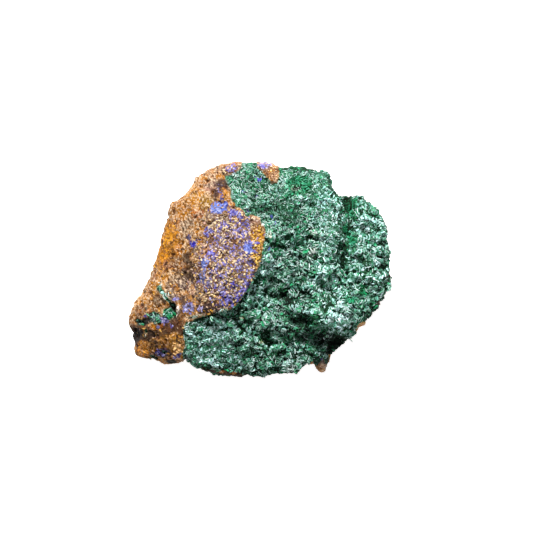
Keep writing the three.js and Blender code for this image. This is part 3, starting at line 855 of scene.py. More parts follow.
class Sheet:
    """A node tree that is being drawn."""

    def __init__(self, tree: bpy.types.NodeTree) -> None:
        """Keeps the tree, emptied."""
        self.tree = tree
        tree.nodes.clear()

    def node(self, kind: str, settings: dict[str, Any] | None = None,
             inputs: dict[str | int, Any] | None = None) -> Outputs:
        """Adds one node.

        Args:
            kind: The node's type.
            settings: Its properties, set first.
            inputs: Values or wires of its sockets, by name or number.

        Returns:
            The node's outputs.
        """
        node = self.tree.nodes.new(kind)
        for name, value in (settings or {}).items():
            setattr(node, name, value)
        for name, value in (inputs or {}).items():
            if isinstance(name, int):
                socket = node.inputs[name]
            else:
                socket = next(s for s in node.inputs if s.name == name and s.enabled)
            if isinstance(value, Wire):
                self.tree.links.new(value.socket, socket)
            else:
                socket.default_value = value
        return Outputs(self, node)

    def maths(self, operation: str, *values: "Wire | float") -> Wire:
        """Result of a Math node."""
        return self.node("ShaderNodeMath", {"operation": operation}, dict(enumerate(values)))[0]

    def mix(self, share: "Wire | float", low: "Wire | Colour", high: "Wire | Colour",
            blend: str = "MIX") -> Wire:
        """Mix of two colours.

        Args:
            share: How much of the second colour there is.
            low: The first colour.
            high: The second colour.
            blend: How the two are blended.

        Returns:
            The mixed colour.
        """
        settings = {"data_type": "RGBA", "blend_type": blend}
        return self.node("ShaderNodeMix", settings, {0: share, 6: low, 7: high})[2]

    def numbers(self, *names: str) -> list[Wire]:
        """Stored numbers of those names."""
        return [self.node("ShaderNodeAttribute", {"attribute_name": name})["Fac"] for name in names]

    def colour(self, name: str) -> Wire:
        """Stored colour of that name."""
        return self.node("ShaderNodeAttribute", {"attribute_name": name})["Color"]

    def light(self, colour: Wire) -> Wire:
        """How light a colour is."""
        return self.node("ShaderNodeRGBToBW", {}, {"Color": colour})["Val"]

    def place(self, wave: Size, turn: float = 0.0) -> Wire:
        """Place on the object, counted in waves.

        Args:
            wave: Wave length in millimetres, or one for each axis.
            turn: Turn of the axes about the vertical, in degrees.

        Returns:
            The place.
        """
        waves = wave if isinstance(wave, tuple) else (wave, wave, wave)
        inputs = {
            "Vector": self.node("ShaderNodeTexCoord")["Object"],
            "Rotation": (0.0, 0.0, math.radians(turn)),
            "Scale": tuple(w * MM for w in waves),
        }
        return self.node("ShaderNodeMapping", {"vector_type": "TEXTURE"}, inputs)[0]

    def speckle(self, wave: Size, detail: float = 2.0, turn: float = 0.0) -> Wire:
        """Noise over the object, from 0 to 1.

        Args:
            wave: Wave length in millimetres, or one for each axis.
            detail: Number of finer layers.
            turn: Turn of the axes about the vertical, in degrees.

        Returns:
            The noise.
        """
        inputs = {"Vector": self.place(wave, turn), "Scale": 1.0, "Detail": detail, "Roughness": 0.65}
        return self.node("ShaderNodeTexNoise", {}, inputs)[0]

    def bent(self, wave: float, shift: float) -> Wire:
        """Place on the object, counted in waves and bent by noise.

        Args:
            wave: Wave length in millimetres.
            shift: How far the noise moves a place, in waves.

        Returns:
            The place.
        """
        place = self.place(wave)
        noise = self.node("ShaderNodeTexNoise", {}, {"Vector": place, "Scale": 1.1, "Detail": 1.0})
        inputs = {0: noise["Color"], 1: (shift, shift, shift), 2: place}
        return self.node("ShaderNodeVectorMath", {"operation": "MULTIPLY_ADD"}, inputs)["Vector"]

    def crumbs(self, place: Wire) -> Outputs:
        """Random red, green and blue of crumbs one wave wide."""
        colour = self.node("ShaderNodeTexVoronoi", {}, {"Vector": place, "Scale": 1.0})["Color"]
        return self.node("ShaderNodeSeparateColor", {}, {"Color": colour})

    def seams(self, place: Wire) -> Wire:
        """Distance from the nearest seam between crumbs one wave wide, in waves."""
        inputs = {"Vector": place, "Scale": 1.0}
        return self.node("ShaderNodeTexVoronoi", {"feature": "DISTANCE_TO_EDGE"}, inputs)["Distance"]


# ---- Finishes ----

MATT: dict[str, Any] = {"Specular IOR Level": 0.2}


def new_material(name: str) -> tuple[bpy.types.Material, Sheet]:
    """An empty material and the sheet of its nodes.

    Args:
        name: What the material is called.

    Returns:
        The material and its sheet.
    """
    material = bpy.data.materials.new(name)
    material.use_nodes = True
    return material, Sheet(material.node_tree)


def close_surface(sheet: Sheet, colour: Wire, rough: Wire | float, height: Wire | None = None,
                  bump: float = 0.0, fixed: dict[str, Any] | None = None) -> None:
    """Ends a material's tree in its shader.

    Args:
        sheet: The material's tree.
        colour: Base colour.
        rough: Roughness.
        height: Height for the bump, or None.
        bump: Depth of the bump in metres.
        fixed: Values set on the shader's own sockets; a matt surface if there are none.
    """
    inputs: dict[str | int, Any] = {"Base Color": colour, "Roughness": rough, **(fixed or MATT)}
    if height is not None:
        relief = {"Strength": 1.0, "Distance": bump, "Height": height}
        inputs["Normal"] = sheet.node("ShaderNodeBump", {}, relief)["Normal"]
    shader = sheet.node("ShaderNodeBsdfPrincipled", {}, inputs)["BSDF"]
    sheet.node("ShaderNodeOutputMaterial", {}, {"Surface": shader})


class Coat:
    """The colour of a finish, built up layer on layer."""

    def __init__(self, sheet: Sheet, colour: Wire) -> None:
        """Starts from the lowest layer's colour."""
        self.sheet = sheet
        self.colour = colour

    def lay(self, share: Wire | float, colour: Wire | Colour) -> "Coat":
        """Lays a colour on, by a share."""
        self.colour = self.sheet.mix(share, self.colour, colour)
        return self

    def shade(self, share: Wire | float, shade: Colour) -> "Coat":
        """Multiplies the colour by a shade, by a share."""
        self.colour = self.sheet.mix(share, self.colour, shade, "MULTIPLY")
        return self


def azurite_blue(sheet: Sheet, tone: Wire, shadow: Wire, night: Colour, haze: Colour) -> Wire:
    """Colour of azurite, from the blue that is stored for the place.

    Args:
        sheet: The material's tree.
        tone: How light each grain is, from 0 to 1.
        shadow: Share of the shade.
        night: The shade.
        haze: Colour of the palest grains.

    Returns:
        The colour.
    """
    coat = Coat(sheet, sheet.colour("azure")).shade(shadow, night)
    return coat.lay(tone.between(0.5, 1.0) * 0.5, haze).colour


@dataclass(frozen=True)
class RockFinish:
    """Limonite rock, the plate on it, and the ground under the malachite crust."""

    # Dark of the sand and streaks, and painted shade between the plate's grains and in hollows.
    shade: Colour = (0.34, 0.25, 0.16, 1.0)
    pale: Colour = tint("dec2a2")
    gold: Colour = tint("bd7c00")
    rose: Colour = tint("9c6252")
    # Near black of the random pits, and of the painted shade in the deepest hollows.
    pit: Colour = tint("2a1408")
    dim: Colour = (0.55, 0.48, 0.37, 1.0)
    # Painted shade of the ground between the crust's crystals.
    root: Colour = (0.06, 0.26, 0.16, 1.0)
    night: Colour = (0.30, 0.25, 0.38, 1.0)
    haze: Colour = tint("b4b2d0")

    def material(self) -> bpy.types.Material:
        """Builds the finish.

        Returns:
            The finished material.
        """
        material, sheet = new_material("limonite_rock")
        coat = Coat(sheet, sheet.colour("ground"))
        azurite, crust, raised, domed, soft = sheet.numbers("azurite", "crust", "raised", "domed", "clay")
        rock = 1 - crust
        rich = rock - soft
        light = sheet.light(coat.colour).between(0.015, 0.15)
        bare, clay = rock * light, soft * light
        sand = sheet.speckle(0.42, 2.0)
        streak = sheet.speckle((1.5, 0.5, 0.5), 1.0, -52)
        blotch = sheet.crumbs(sheet.bent(1.9, 1.1))
        fleck = sheet.crumbs(sheet.bent(0.7, 0.8))
        thread = sheet.seams(sheet.bent(1.0, 1.0)).between(0.12, 0.03) * streak.between(0.38, 0.55)
        # Gold and rose patches, with dark streaks, sand and flecks over them.
        coat.lay(blotch["Red"].between(0.45, 0.60) * bare * (0.85 - 0.60 * domed), self.gold)
        coat.shade(streak.between(0.44, 0.32) * rock * 0.6, self.shade)
        coat.lay(blotch["Green"].between(0.78, 0.90) * bare * 0.4, self.rose)
        coat.shade(sand.between(0.52, 0.36) * 0.85, self.shade)
        coat.shade(fleck["Red"].between(0.25, 0.0) * 0.7, self.shade)
        coat.shade(rock * (0.5 - 0.2 * domed), self.dim)
        # Pale clay in flecks, streaks and threads.
        coat.lay(fleck["Green"].between(0.70, 1.0) * clay * (0.40 + 0.20 * domed), self.pale)
        coat.lay(streak.between(0.54, 0.68) * sand.between(0.40, 0.55) * clay * 0.7, self.pale)
        coat.lay(thread * raised.between(0.3, 0.8) * clay * 0.65, self.pale)
        # Painted shade between the plate's grains and in hollows, gold flecks, nearly black pits at random,
        # and the deepest hollows laid nearly black as painted shade.
        coat.shade(domed.between(0.3, 1.0) * 0.85, self.shade)
        coat.shade(raised.between(0.70, 0.20) * 0.9, self.shade)
        coat.lay(fleck["Green"].between(0.62, 0.85) * rich * bare * 0.55, self.gold)
        coat.lay((fleck["Blue"] + 0.16 * rich).between(0.94, 0.98) * rock * 0.85, self.pit)
        # Painted shade: the deepest hollows laid nearly black.
        coat.lay(raised.between(0.35, 0.10) * rock * 0.8, self.pit)
        # Painted shade on the ground between the crystals of the crust, deeper in hollows, and darker flecks
        # of that ground.
        coat.shade((0.72 + 0.28 * raised.between(0.98, 0.35)) * crust, self.root)
        coat.shade(fleck["Green"].between(0.7, 0.3) * crust * 0.7, self.root)
        # Crumbs of azurite.
        crumb = sheet.crumbs(sheet.bent(0.55, 0.6))
        shadow = crumb["Green"].between(0.55, 0.0)
        blue = azurite_blue(sheet, crumb["Green"], shadow, self.night, self.haze)
        coat.lay((azurite - crumb["Red"]).between(0.0, 0.05), blue)
        close_surface(sheet, coat.colour, 0.85, sand + thread, 0.25 * MM)
        return material


@dataclass(frozen=True)
class BladeFinish:
    """Malachite crystals: painted shade at the root, a pale edge that is partly their own colour and partly
    painted sheen, each with its own tone.
    """

    name: str
    green_share: float
    ash_share: float
    pale_edge_and_sheen_share: float
    # Colour of the pale edge, partly the crystals' own and partly painted sheen.
    pale: Colour = tint("dde8e6")
    ash: Colour = tint("8fafad")
    # Darker tone of some crystals, and painted shade at their roots.
    root: Colour = (0.08, 0.34, 0.20, 1.0)
    cool: Colour = (1.34, 1.32, 1.56, 1.0)
    emerald: Colour = tint("00925a")
    bark: Colour = tint("5c5a3e")
    blue: Colour = tint("4038a4")
    # Painted shade in the cracks.
    shade: Colour = (0.16, 0.28, 0.20, 1.0)

    def material(self) -> bpy.types.Material:
        """Builds the finish.

        Returns:
            The finished material.
        """
        material, sheet = new_material(self.name)
        rise, tone, pick, mood = sheet.numbers("rise", "tone", "pick", "mood")
        raised, azurite = sheet.numbers("raised", "azurite")
        dust = sheet.speckle(0.35, 1.0)
        ground = Coat(sheet, sheet.colour("ground")).shade(1.0, self.cool).colour
        parts = sheet.node("ShaderNodeSeparateColor", {}, {"Color": ground})
        dull = (parts["Green"] - 4 * parts["Red"]).between(0.10, 0.0)
        light = sheet.light(ground).between(0.08, 0.26)
        # Emerald, ashen, brown and fresh crystals among those of the ground's colour.
        coat = Coat(sheet, ground)
        coat.lay(mood.between(0.45, 0.75) * self.green_share, self.emerald)
        coat.lay(mood.between(0.35, 0.10) * light * dull * self.ash_share, self.ash)
        coat.lay(mood.between(0.035, 0.02) * 0.3, self.bark)
        fresh = mood.between(0.86, 0.90) * 0.8
        coat.lay(fresh, self.emerald)
        coat.shade(tone.between(0.46, 0.16) * 0.92, self.root)
        coat.shade(dust.between(0.50, 0.34) * 0.7, self.root)
        # A pale edge, partly the crystals' own colour and partly painted sheen, then painted shade at the
        # root and in cracks.
        edge = rise.between(0.60, 0.95) * (0.15 + 0.85 * tone.between(0.25, 0.75))
        edge = edge * raised.between(-0.25, 0.45) * (1 - fresh) * dust.between(0.30, 0.52)
        pale = Coat(sheet, ground).lay((0.08 + 0.22 * dull) + 0.6 * light * dull, self.pale).colour
        coat.lay(edge * self.pale_edge_and_sheen_share, pale)
        # Painted shade at each crystal's root and in the cracks.
        coat.shade(rise.between(0.50, 0.0) * 0.85, self.root)
        coat.shade(raised.between(0.55, 0.0) * 0.8, self.shade)
        coat.lay((azurite - pick).between(0.0, 0.05), self.blue)
        close_surface(sheet, coat.colour, 0.70 - 0.2 * tone)
        return material


@dataclass(frozen=True)
class GrainFinish:
    """Grains of limonite, clay and azurite, each with its own colour."""

    # Dark of some grains, and painted shade low on each grain and in hollows.
    shade: Colour = (0.32, 0.21, 0.16, 1.0)
    pale: Colour = tint("dcc698")
    gold: Colour = tint("cc9420")
    rose: Colour = tint("b08a7c")
    bark: Colour = tint("3c2622")
    night: Colour = (0.32, 0.26, 0.42, 1.0)
    haze: Colour = tint("b0acd0")

    def material(self) -> bpy.types.Material:
        """Builds the finish.

        Returns:
            The finished material.
        """
        material, sheet = new_material("plate_grains")
        azurite, domed, clay, raised = sheet.numbers("azurite", "domed", "clay", "raised")
        rise, tone, pick, mood = sheet.numbers("rise", "tone", "pick", "mood")
        dust = sheet.speckle(0.24, 1.0)
        # Gold, rose and dark grains among those of the ground's colour.
        coat = Coat(sheet, sheet.colour("ground"))
        coat.lay(mood.between(0.78, 0.88) * 0.6, self.gold)
        coat.lay(mood.between(0.32, 0.24) * 0.5, self.rose)
        coat.lay(mood.between(0.16, 0.14) * 0.8 * clay, self.bark)
        coat.shade(tone.between(0.42, 0.12) * (0.35 + 0.6 * clay), self.shade)
        # Pale clay on the light grains, then azurite, then painted shade low on each grain and in hollows.
        dusted = tone.between(0.40, 0.85) * (0.25 + 0.60 * domed) * dust.between(0.25, 0.55) * clay
        coat.lay(dusted, self.pale)
        blue = azurite_blue(sheet, tone, tone.between(0.5, 0.0) * 0.8, self.night, self.haze)
        coat.lay((azurite - pick).between(0.0, 0.05), blue)
        coat.shade(rise.between(0.5, 0.0) * 0.9, self.shade)
        coat.shade(raised.between(0.6, 0.1) * 0.85, self.shade)
        close_surface(sheet, coat.colour, 0.8, dust, 0.05 * MM)
        return material


@dataclass(frozen=True)
class FloorFinish:
    """Plain pale studio floor with a faint tooth."""

    pale: Colour = (0.93, 0.93, 0.93, 1.0)
    shade: Colour = (0.90, 0.90, 0.90, 1.0)
    glow: float = 0.74
    tooth: float = 30.0

    def material(self) -> bpy.types.Material:
        """Builds the finish.

        Returns:
            The finished material.
        """
        material, sheet = new_material("studio_floor")
        colour = sheet.mix(sheet.speckle(self.tooth), self.pale, self.shade)
        white = (1.0, 1.0, 1.0, 1.0)
        fixed = {"Specular IOR Level": 0.1, "Emission Color": white, "Emission Strength": self.glow}
        close_surface(sheet, colour, 0.9, fixed=fixed)
        return material


# ---- Mesh helpers ----


def new_object(name: str, mesh: bpy.types.Mesh) -> bpy.types.Object:
    """Links a mesh to the scene as an object of that name.

    Args:
        name: What the object and its mesh are called.
        mesh: The mesh to show.

    Returns:
        The new object.
    """
    mesh.name = name
    thing = bpy.data.objects.new(name, mesh)
    bpy.context.scene.collection.objects.link(thing)
    return thing


def settled(thing: bpy.types.Object) -> bpy.types.Mesh:
    """The mesh that an object's modifiers make, as a plain mesh.

    Args:
        thing: The object, with its modifiers on it.

    Returns:
        A mesh that stands by itself.
    """
    depsgraph = bpy.context.evaluated_depsgraph_get()
    depsgraph.update()
    return bpy.data.meshes.new_from_object(
        thing.evaluated_get(depsgraph), preserve_all_data_layers=True, depsgraph=depsgraph
    )


def coordinates(mesh: bpy.types.Mesh) -> np.ndarray:
    """Every vertex's place, one row each.

    Args:
        mesh: The mesh to read.

    Returns:
        Rows of x, y and z in metres.
    """
    flat = np.empty(len(mesh.vertices) * 3, np.float32)
    mesh.vertices.foreach_get("co", flat)
    return flat.reshape(-1, 3).astype(float)


def normals(mesh: bpy.types.Mesh) -> np.ndarray:
    """Every vertex's normal, one row each.

    Args:
        mesh: The mesh to read.

    Returns:
        Rows of unit vectors.
    """
    flat = np.empty(len(mesh.vertices) * 3, np.float32)
    mesh.vertex_normals.foreach_get("vector", flat)
    return flat.reshape(-1, 3).astype(float)


def put_coordinates(mesh: bpy.types.Mesh, points: np.ndarray) -> None:
    """Moves every vertex of a mesh."""
    mesh.vertices.foreach_set("co", points.astype(np.float32).ravel())
    mesh.update()


def put_numbers(mesh: bpy.types.Mesh, name: str, values: np.ndarray) -> None:
    """Stores one number for each vertex."""
    layer = mesh.attributes.new(name, "FLOAT", "POINT")
    layer.data.foreach_set("value", values.astype(np.float32))


def put_colours(mesh: bpy.types.Mesh, name: str, values: np.ndarray) -> None:
    """Stores one colour for each vertex."""
    layer = mesh.attributes.new(name, "FLOAT_COLOR", "POINT")
    layer.data.foreach_set("color", values.astype(np.float32).ravel())


def corner_vertices(mesh: bpy.types.Mesh) -> np.ndarray:
    """The vertex of every face corner.

    Args:
        mesh: The mesh to read.

    Returns:
        The vertices' numbers.
    """
    found = np.empty(len(mesh.loops), np.int32)
    mesh.loops.foreach_get("vertex_index", found)
    return found


def put_map(mesh: bpy.types.Mesh, places: np.ndarray) -> None:
    """Stores every face corner's place on the bake's map, one row each."""
    layer = mesh.uv_layers.get(BAKE_MAP) or mesh.uv_layers.new(name=BAKE_MAP)
    layer.uv.foreach_set("vector", places.astype(np.float32).ravel())


def relaxed(points: np.ndarray, edges: np.ndarray, rounds: int) -> np.ndarray:
    """Points moved towards the mean of their neighbours.

    Args:
        points: One row for each vertex.
        edges: The two vertices of each edge.
        rounds: How many times they move half of the way.

    Returns:
        The moved points.
    """
    ends = np.concatenate([edges[:, 0], edges[:, 1]])
    others = np.concatenate([edges[:, 1], edges[:, 0]])
    count = np.bincount(ends, minlength=len(points))[:, None]
    for _ in range(rounds):
        sums = np.stack(
            [np.bincount(ends, points[others, axis], len(points)) for axis in range(3)], axis=1
        )
        points = 0.5 * points + 0.5 * sums / count
    return points


# ---- What lies where on the stone ----


RIPPLE = Ripple(11)
CELLS = Cells(12)


class Apart:
    """Shifts in millimetres that keep patterns of the same noise from matching."""

    LUMP_DRIFT = 5
    LEAF_DRIFT = 7
    CRUMB_DRIFT = 9
    BLOCK_DRIFT = 15
    CRUMBS = 30
    BUMPS = 40
    LEAVES = 60
    DENTS = 60
    SMALL_DENTS = 70
    SAND = 80
    BLOCKS = 90
    HOLES = 110
    FLAKES = 130
    BLOBS = 200


def plate_depth(plan: np.ndarray) -> np.ndarray:
    """How far points of the plan lie inside the plate's edge, in millimetres."""
    return inside_distance(plan, [*PLATE_EDGE, *FAR_WEST])


@dataclass
class Site:
    """Points of the stone's surface, and what lies at each. Every length is in millimetres."""

    points: np.ndarray
    facing: np.ndarray
    squash: tuple[float, float, float] = (1, 1, 0.5)
    """Factors on the axes that make the face's patterns twice as tall as they are wide."""
    wobble_layers: tuple[tuple[float, float], ...] = ((2.4, 0.4), (0.9, 0.4))
    """Wave length and height of each layer of the borders' unevenness."""
    ragged_share: float = 0.5
    """How much of it the borders of the plate and its island take."""
    sharp_edge: float = 0.15
    """Half the width of the edge of bare places and lone spots, as a share of an oval."""
    lump_size: Size = (3.6, 3.0, 3.0)
    lump_step: float = 0.8
    lump_tilt: PlanPoint = (0.15, 0.45)
    leaf_size: Size = (1.4, 1.1, 1.1)
    block_size: Size = (6.0, 6.0, 4.2)
    flake_size: Size = (2.4, 2.4, 1.7)
    crumb_size: float = 0.95
    blob_size: float = 1.35
    rock_colours: tuple[str, str] = ("9a6712", "6e4a27")
    # Colours of the rock on the face, and on the sides a darker one that is painted shade.
    """Colours of the rock on the face and on the sides."""
    leaf_colours: tuple[str, str] = ("5c9c84", "4f8f74")
    # Colours of the crust on the face, and on the sides a darker one that is painted shade.
    """Colours of the crust on the face and on the sides."""
    rim_colour: str = "b4cdc6"
    azurite_colours: tuple[str, str] = ("6c6498", "4f47a6")
    """Colours of azurite elsewhere than in the stains, and of its blobs on the plate."""

    def __post_init__(self) -> None:
        """Reads what everything else follows: the plan, the slope, and the plate's uneven edge."""
        self.plan, self.height, self.tilt = self.points[:, :2], self.points[:, 2], self.facing[:, 2]
        self.flat = self.points * self.squash
        self.wobble = RIPPLE.layers(self.flat, self.wobble_layers)
        self.plate_depth = plate_depth(self.plan)
        self.ragged = self.plate_depth + self.ragged_share * self.wobble

    def cover(self, ovals: Sequence[Oval], edge: float = 0.3) -> np.ndarray:
        """How much of each point is covered by the oval that covers it most."""
        return np.max([oval.cover(self.plan, self.wobble, edge) for oval in ovals], axis=0)

    def painted(self, code: str, colour_patches: Sequence[ColourPatch]) -> np.ndarray:
        """Linear colours of the points, with colour patches laid one after another on a display colour.

        Args:
            code: The colour under the stains.
            colour_patches: The patches, in order; a few are painted shade and painted light.

        Returns:
            One colour for each point.
        """
        colours = np.tile(np.array(tint(code)), (len(self.plan), 1))
        for patch in colour_patches:
            colours = patch.laid_on(colours, self.plan, self.wobble)
        return colours

    @cached_property
    def calm(self) -> np.ndarray:
        """How even the crust is, from 0 to 1."""
        return self.cover(CALM)

    @cached_property
    def clumps(self) -> tuple[np.ndarray, np.ndarray, np.ndarray]:
        """Lumps of the crust, each a shelf that rises to the south and breaks off there.

        Returns:
            How raised points are in the broad lumps and in the small ones, from 0 in a crack to 1, and the
            height of the broad shelves.
        """
        drift = RIPPLE.drift(self.flat, 3.4, Apart.LUMP_DRIFT)
        finer = RIPPLE.drift(self.flat, 1.3, Apart.LEAF_DRIFT)
        lump = CELLS.at(self.flat + 1.5 * drift + 0.45 * finer, self.lump_size)
        leaf = CELLS.at(self.flat + Apart.LEAVES + 0.5 * finer, self.leaf_size)
        broad = smoothstep(lump.crack, 0.02, 0.20)
        small = smoothstep(leaf.crack, 0.0, 0.36) * (0.6 + 0.4 * leaf.chance)
        shelf = self.lump_step * (lump.chance - 0.5) * broad - lump.away[:, :2] @ self.lump_tilt
        return broad, small, shelf

    @cached_property
    def broken(self) -> np.ndarray:
        """Relief of a broken rock face.

        Returns:
            Height of its blocks and flakes.
        """
        drift = RIPPLE.drift(self.points, 4.0, Apart.BLOCK_DRIFT)
        block = CELLS.at(self.points + Apart.BLOCKS + 1.2 * drift, self.block_size)
        flake = CELLS.at(self.points + Apart.FLAKES + 0.6 * drift, self.flake_size)
        relief = 0.9 * (block.chance - 0.6) + 0.9 * block.tilt - 0.3 * smoothstep(block.crack, 0.10, 0.0)
        return relief + 0.30 * (flake.chance - 0.5) + 0.45 * flake.tilt

    @cached_property
    def pits(self) -> tuple[np.ndarray, np.ndarray]:
        """Pits in the rock.

        Returns:
            How deep points lie in the small pits and in the wider holes, from 0 to 1.
        """
        warp = RIPPLE.drift(self.flat, 1.2, Apart.CRUMB_DRIFT)
        crumb = CELLS.at(self.flat + Apart.CRUMBS + 0.35 * warp, self.crumb_size)
        pit = smoothstep(crumb.crack, 0.05, 0.5) * (0.3 + 0.7 * crumb.chance)
        return pit, smoothstep(RIPPLE.at(self.points + Apart.HOLES, 1.5), 0.46, 0.64)

    @cached_property
    def spots(self) -> np.ndarray:
        """Share of the lone spots of malachite on the knob."""
        return self.cover(SPOTS, self.sharp_edge)

    @cached_property
    def crust(self) -> np.ndarray:
        """Malachite crust.

        Returns:
            Its share of each point.
        """
        island = inside_distance(self.plan, ISLAND) + self.ragged_share * self.wobble
        apron = self.height - widest_level(self.plan) + 1.5 + 1.8 * RIPPLE.at(self.points, 5.0) + self.wobble
        crust = smoothstep(self.ragged, -0.1, -0.35) * smoothstep(island, -0.1, -0.4)
        crust *= smoothstep(apron, -0.3, 0.3)
        for oval in BARE:
            crust *= 1 - oval.cover(self.plan, self.wobble, self.sharp_edge)
        return np.maximum(crust, self.spots * (self.height > 3.0))

    @cached_property
    def pale_rim(self) -> np.ndarray:
        """Share of the pale line along the crust's border with the plate in the north."""
        return PALE_RIM.cover(self.ragged) * smoothstep(self.plan[:, 1], 13.4, 14.6)

    @cached_property
    def clear(self) -> np.ndarray:
        """How far points lie from the cracks of the crust, as a share of about 1.

        Returns:
            One share for each point.
        """
        broad, small, shelf = self.clumps
        clear = 0.65 * broad + 0.35 * small + 0.3 * shelf
        return clear + 0.35 * self.calm * (1 - clear)

    @cached_property
    def raised(self) -> np.ndarray:
        """How raised points stand among their neighbours.

        Returns:
            Shares from 0 to 1.
        """
        pit, hole = self.pits
        raised = self.crust * self.clear + (1 - self.crust) * (1 - 0.7 * pit - 0.6 * hole)
        raised += 0.35 * swollen(self.plan, np.zeros(len(self.plan)))
        return np.maximum(np.clip(raised, 0, 1), self.crust * self.pale_rim)

    @cached_property
    def colours(self) -> np.ndarray:
        """Colour of the ground, with painted shade on the sides.

        Returns:
            One linear colour for each point.
        """
        (rock, rock_side_shade), (leaf, leaf_side_shade) = self.rock_colours, self.leaf_colours
        # Painted shade: the steep sides take darker colours.
        sides = 0.8 * smoothstep(self.tilt + 0.3 * self.wobble, 0.15, -0.15)
        rocks = blended(self.painted(rock, ROCK_STAINS_AND_SHADE), rock_side_shade, sides)
        leaves = blended(self.painted(leaf, CRUST_STAINS_SHADE_AND_LIGHT), leaf_side_shade, sides)
        leaves = blended(leaves, self.rim_colour, self.pale_rim)
        return rocks * (1 - self.crust[:, None]) + leaves * self.crust[:, None]

    @cached_property
    def azurite(self) -> tuple[np.ndarray, np.ndarray]:
        """Where azurite grows, and its colour.

        Returns:
            Share of azurite and one linear colour for each point.
        """
        elsewhere, blobs = self.azurite_colours
        blue = self.painted(elsewhere, AZURITE_STAINS)
        covers = [s.strength * s.cover(self.plan, self.wobble, s.edge) for s in AZURITE_STAINS]
        spot = CELLS.at(self.points * (1, 1, 0.4) + Apart.BLOBS, self.blob_size)
        away = np.linalg.norm(spot.away, axis=1) + 0.15 * self.wobble
        blob = smoothstep(away, 0.42, 0.32) * (spot.chance > 0.70) * self.cover(DOMES)
        share = np.maximum(np.max(covers, axis=0), 0.62 * blob) * (1 - self.crust)
        blue = blended(blue, blobs, 0.7 * blob * (share < 0.8))
        for speck in AZURITE_SPECKS:
            share = np.maximum(share, smoothstep(np.linalg.norm(self.plan - speck, axis=1), 0.35, 0.2))
        return share * smoothstep(self.tilt, 0.0, 0.2), blue

    @cached_property
    def numbers(self) -> dict[str, np.ndarray]:
        """Stored numbers of the finishes and the crops.

        Returns:
            One number for each point, under each name.
        """
        rich = np.max([share * oval.cover(self.plan, self.wobble) for oval, share in RICH.items()], axis=0)
        rock, grainy = 1 - self.crust, np.clip(0.08 + 0.3 * rich + self.cover(DOMES), 0, 1)
        seam = smoothstep(self.ragged, 0.0, -0.35) * (1 - self.pale_rim)
        high = smoothstep(self.height - widest_level(self.plan), 0.5, 2.5)
        level = self.tilt + 0.35 * smoothstep(self.plate_depth, -4.0, -2.0)
        thick = self.crust * np.maximum(seam, self.spots) * smoothstep(self.clear, 0.15, 0.35)
        thick *= np.where(self.plan[:, 0] < KNOB_FROM, 0.8, 1.0)
        vigour = (0.45 + 0.65 * self.raised) * (0.55 + 0.45 * high)
        return {
            "clay": rock * (1 - rich),
            "crust": self.crust,
            "azurite": self.azurite[0],
            "raised": self.raised,
            "vigour": vigour * (1 - 0.22 * self.calm) * (1 + 0.2 * self.spots),
            "covered": thick * smoothstep(level, 0.35, 0.55),
            "growing": thick * smoothstep(level, 0.5, 0.7) * high,
            "skirted": self.crust * SKIRT.cover(self.tilt),
            "domed": rock * grainy * smoothstep(self.tilt, 0.3, 0.7),
            "sides": rock * smoothstep(self.tilt, 0.15, -0.1) * smoothstep(self.height, 0.6, 1.2),
        }


# ---- The rock body ----


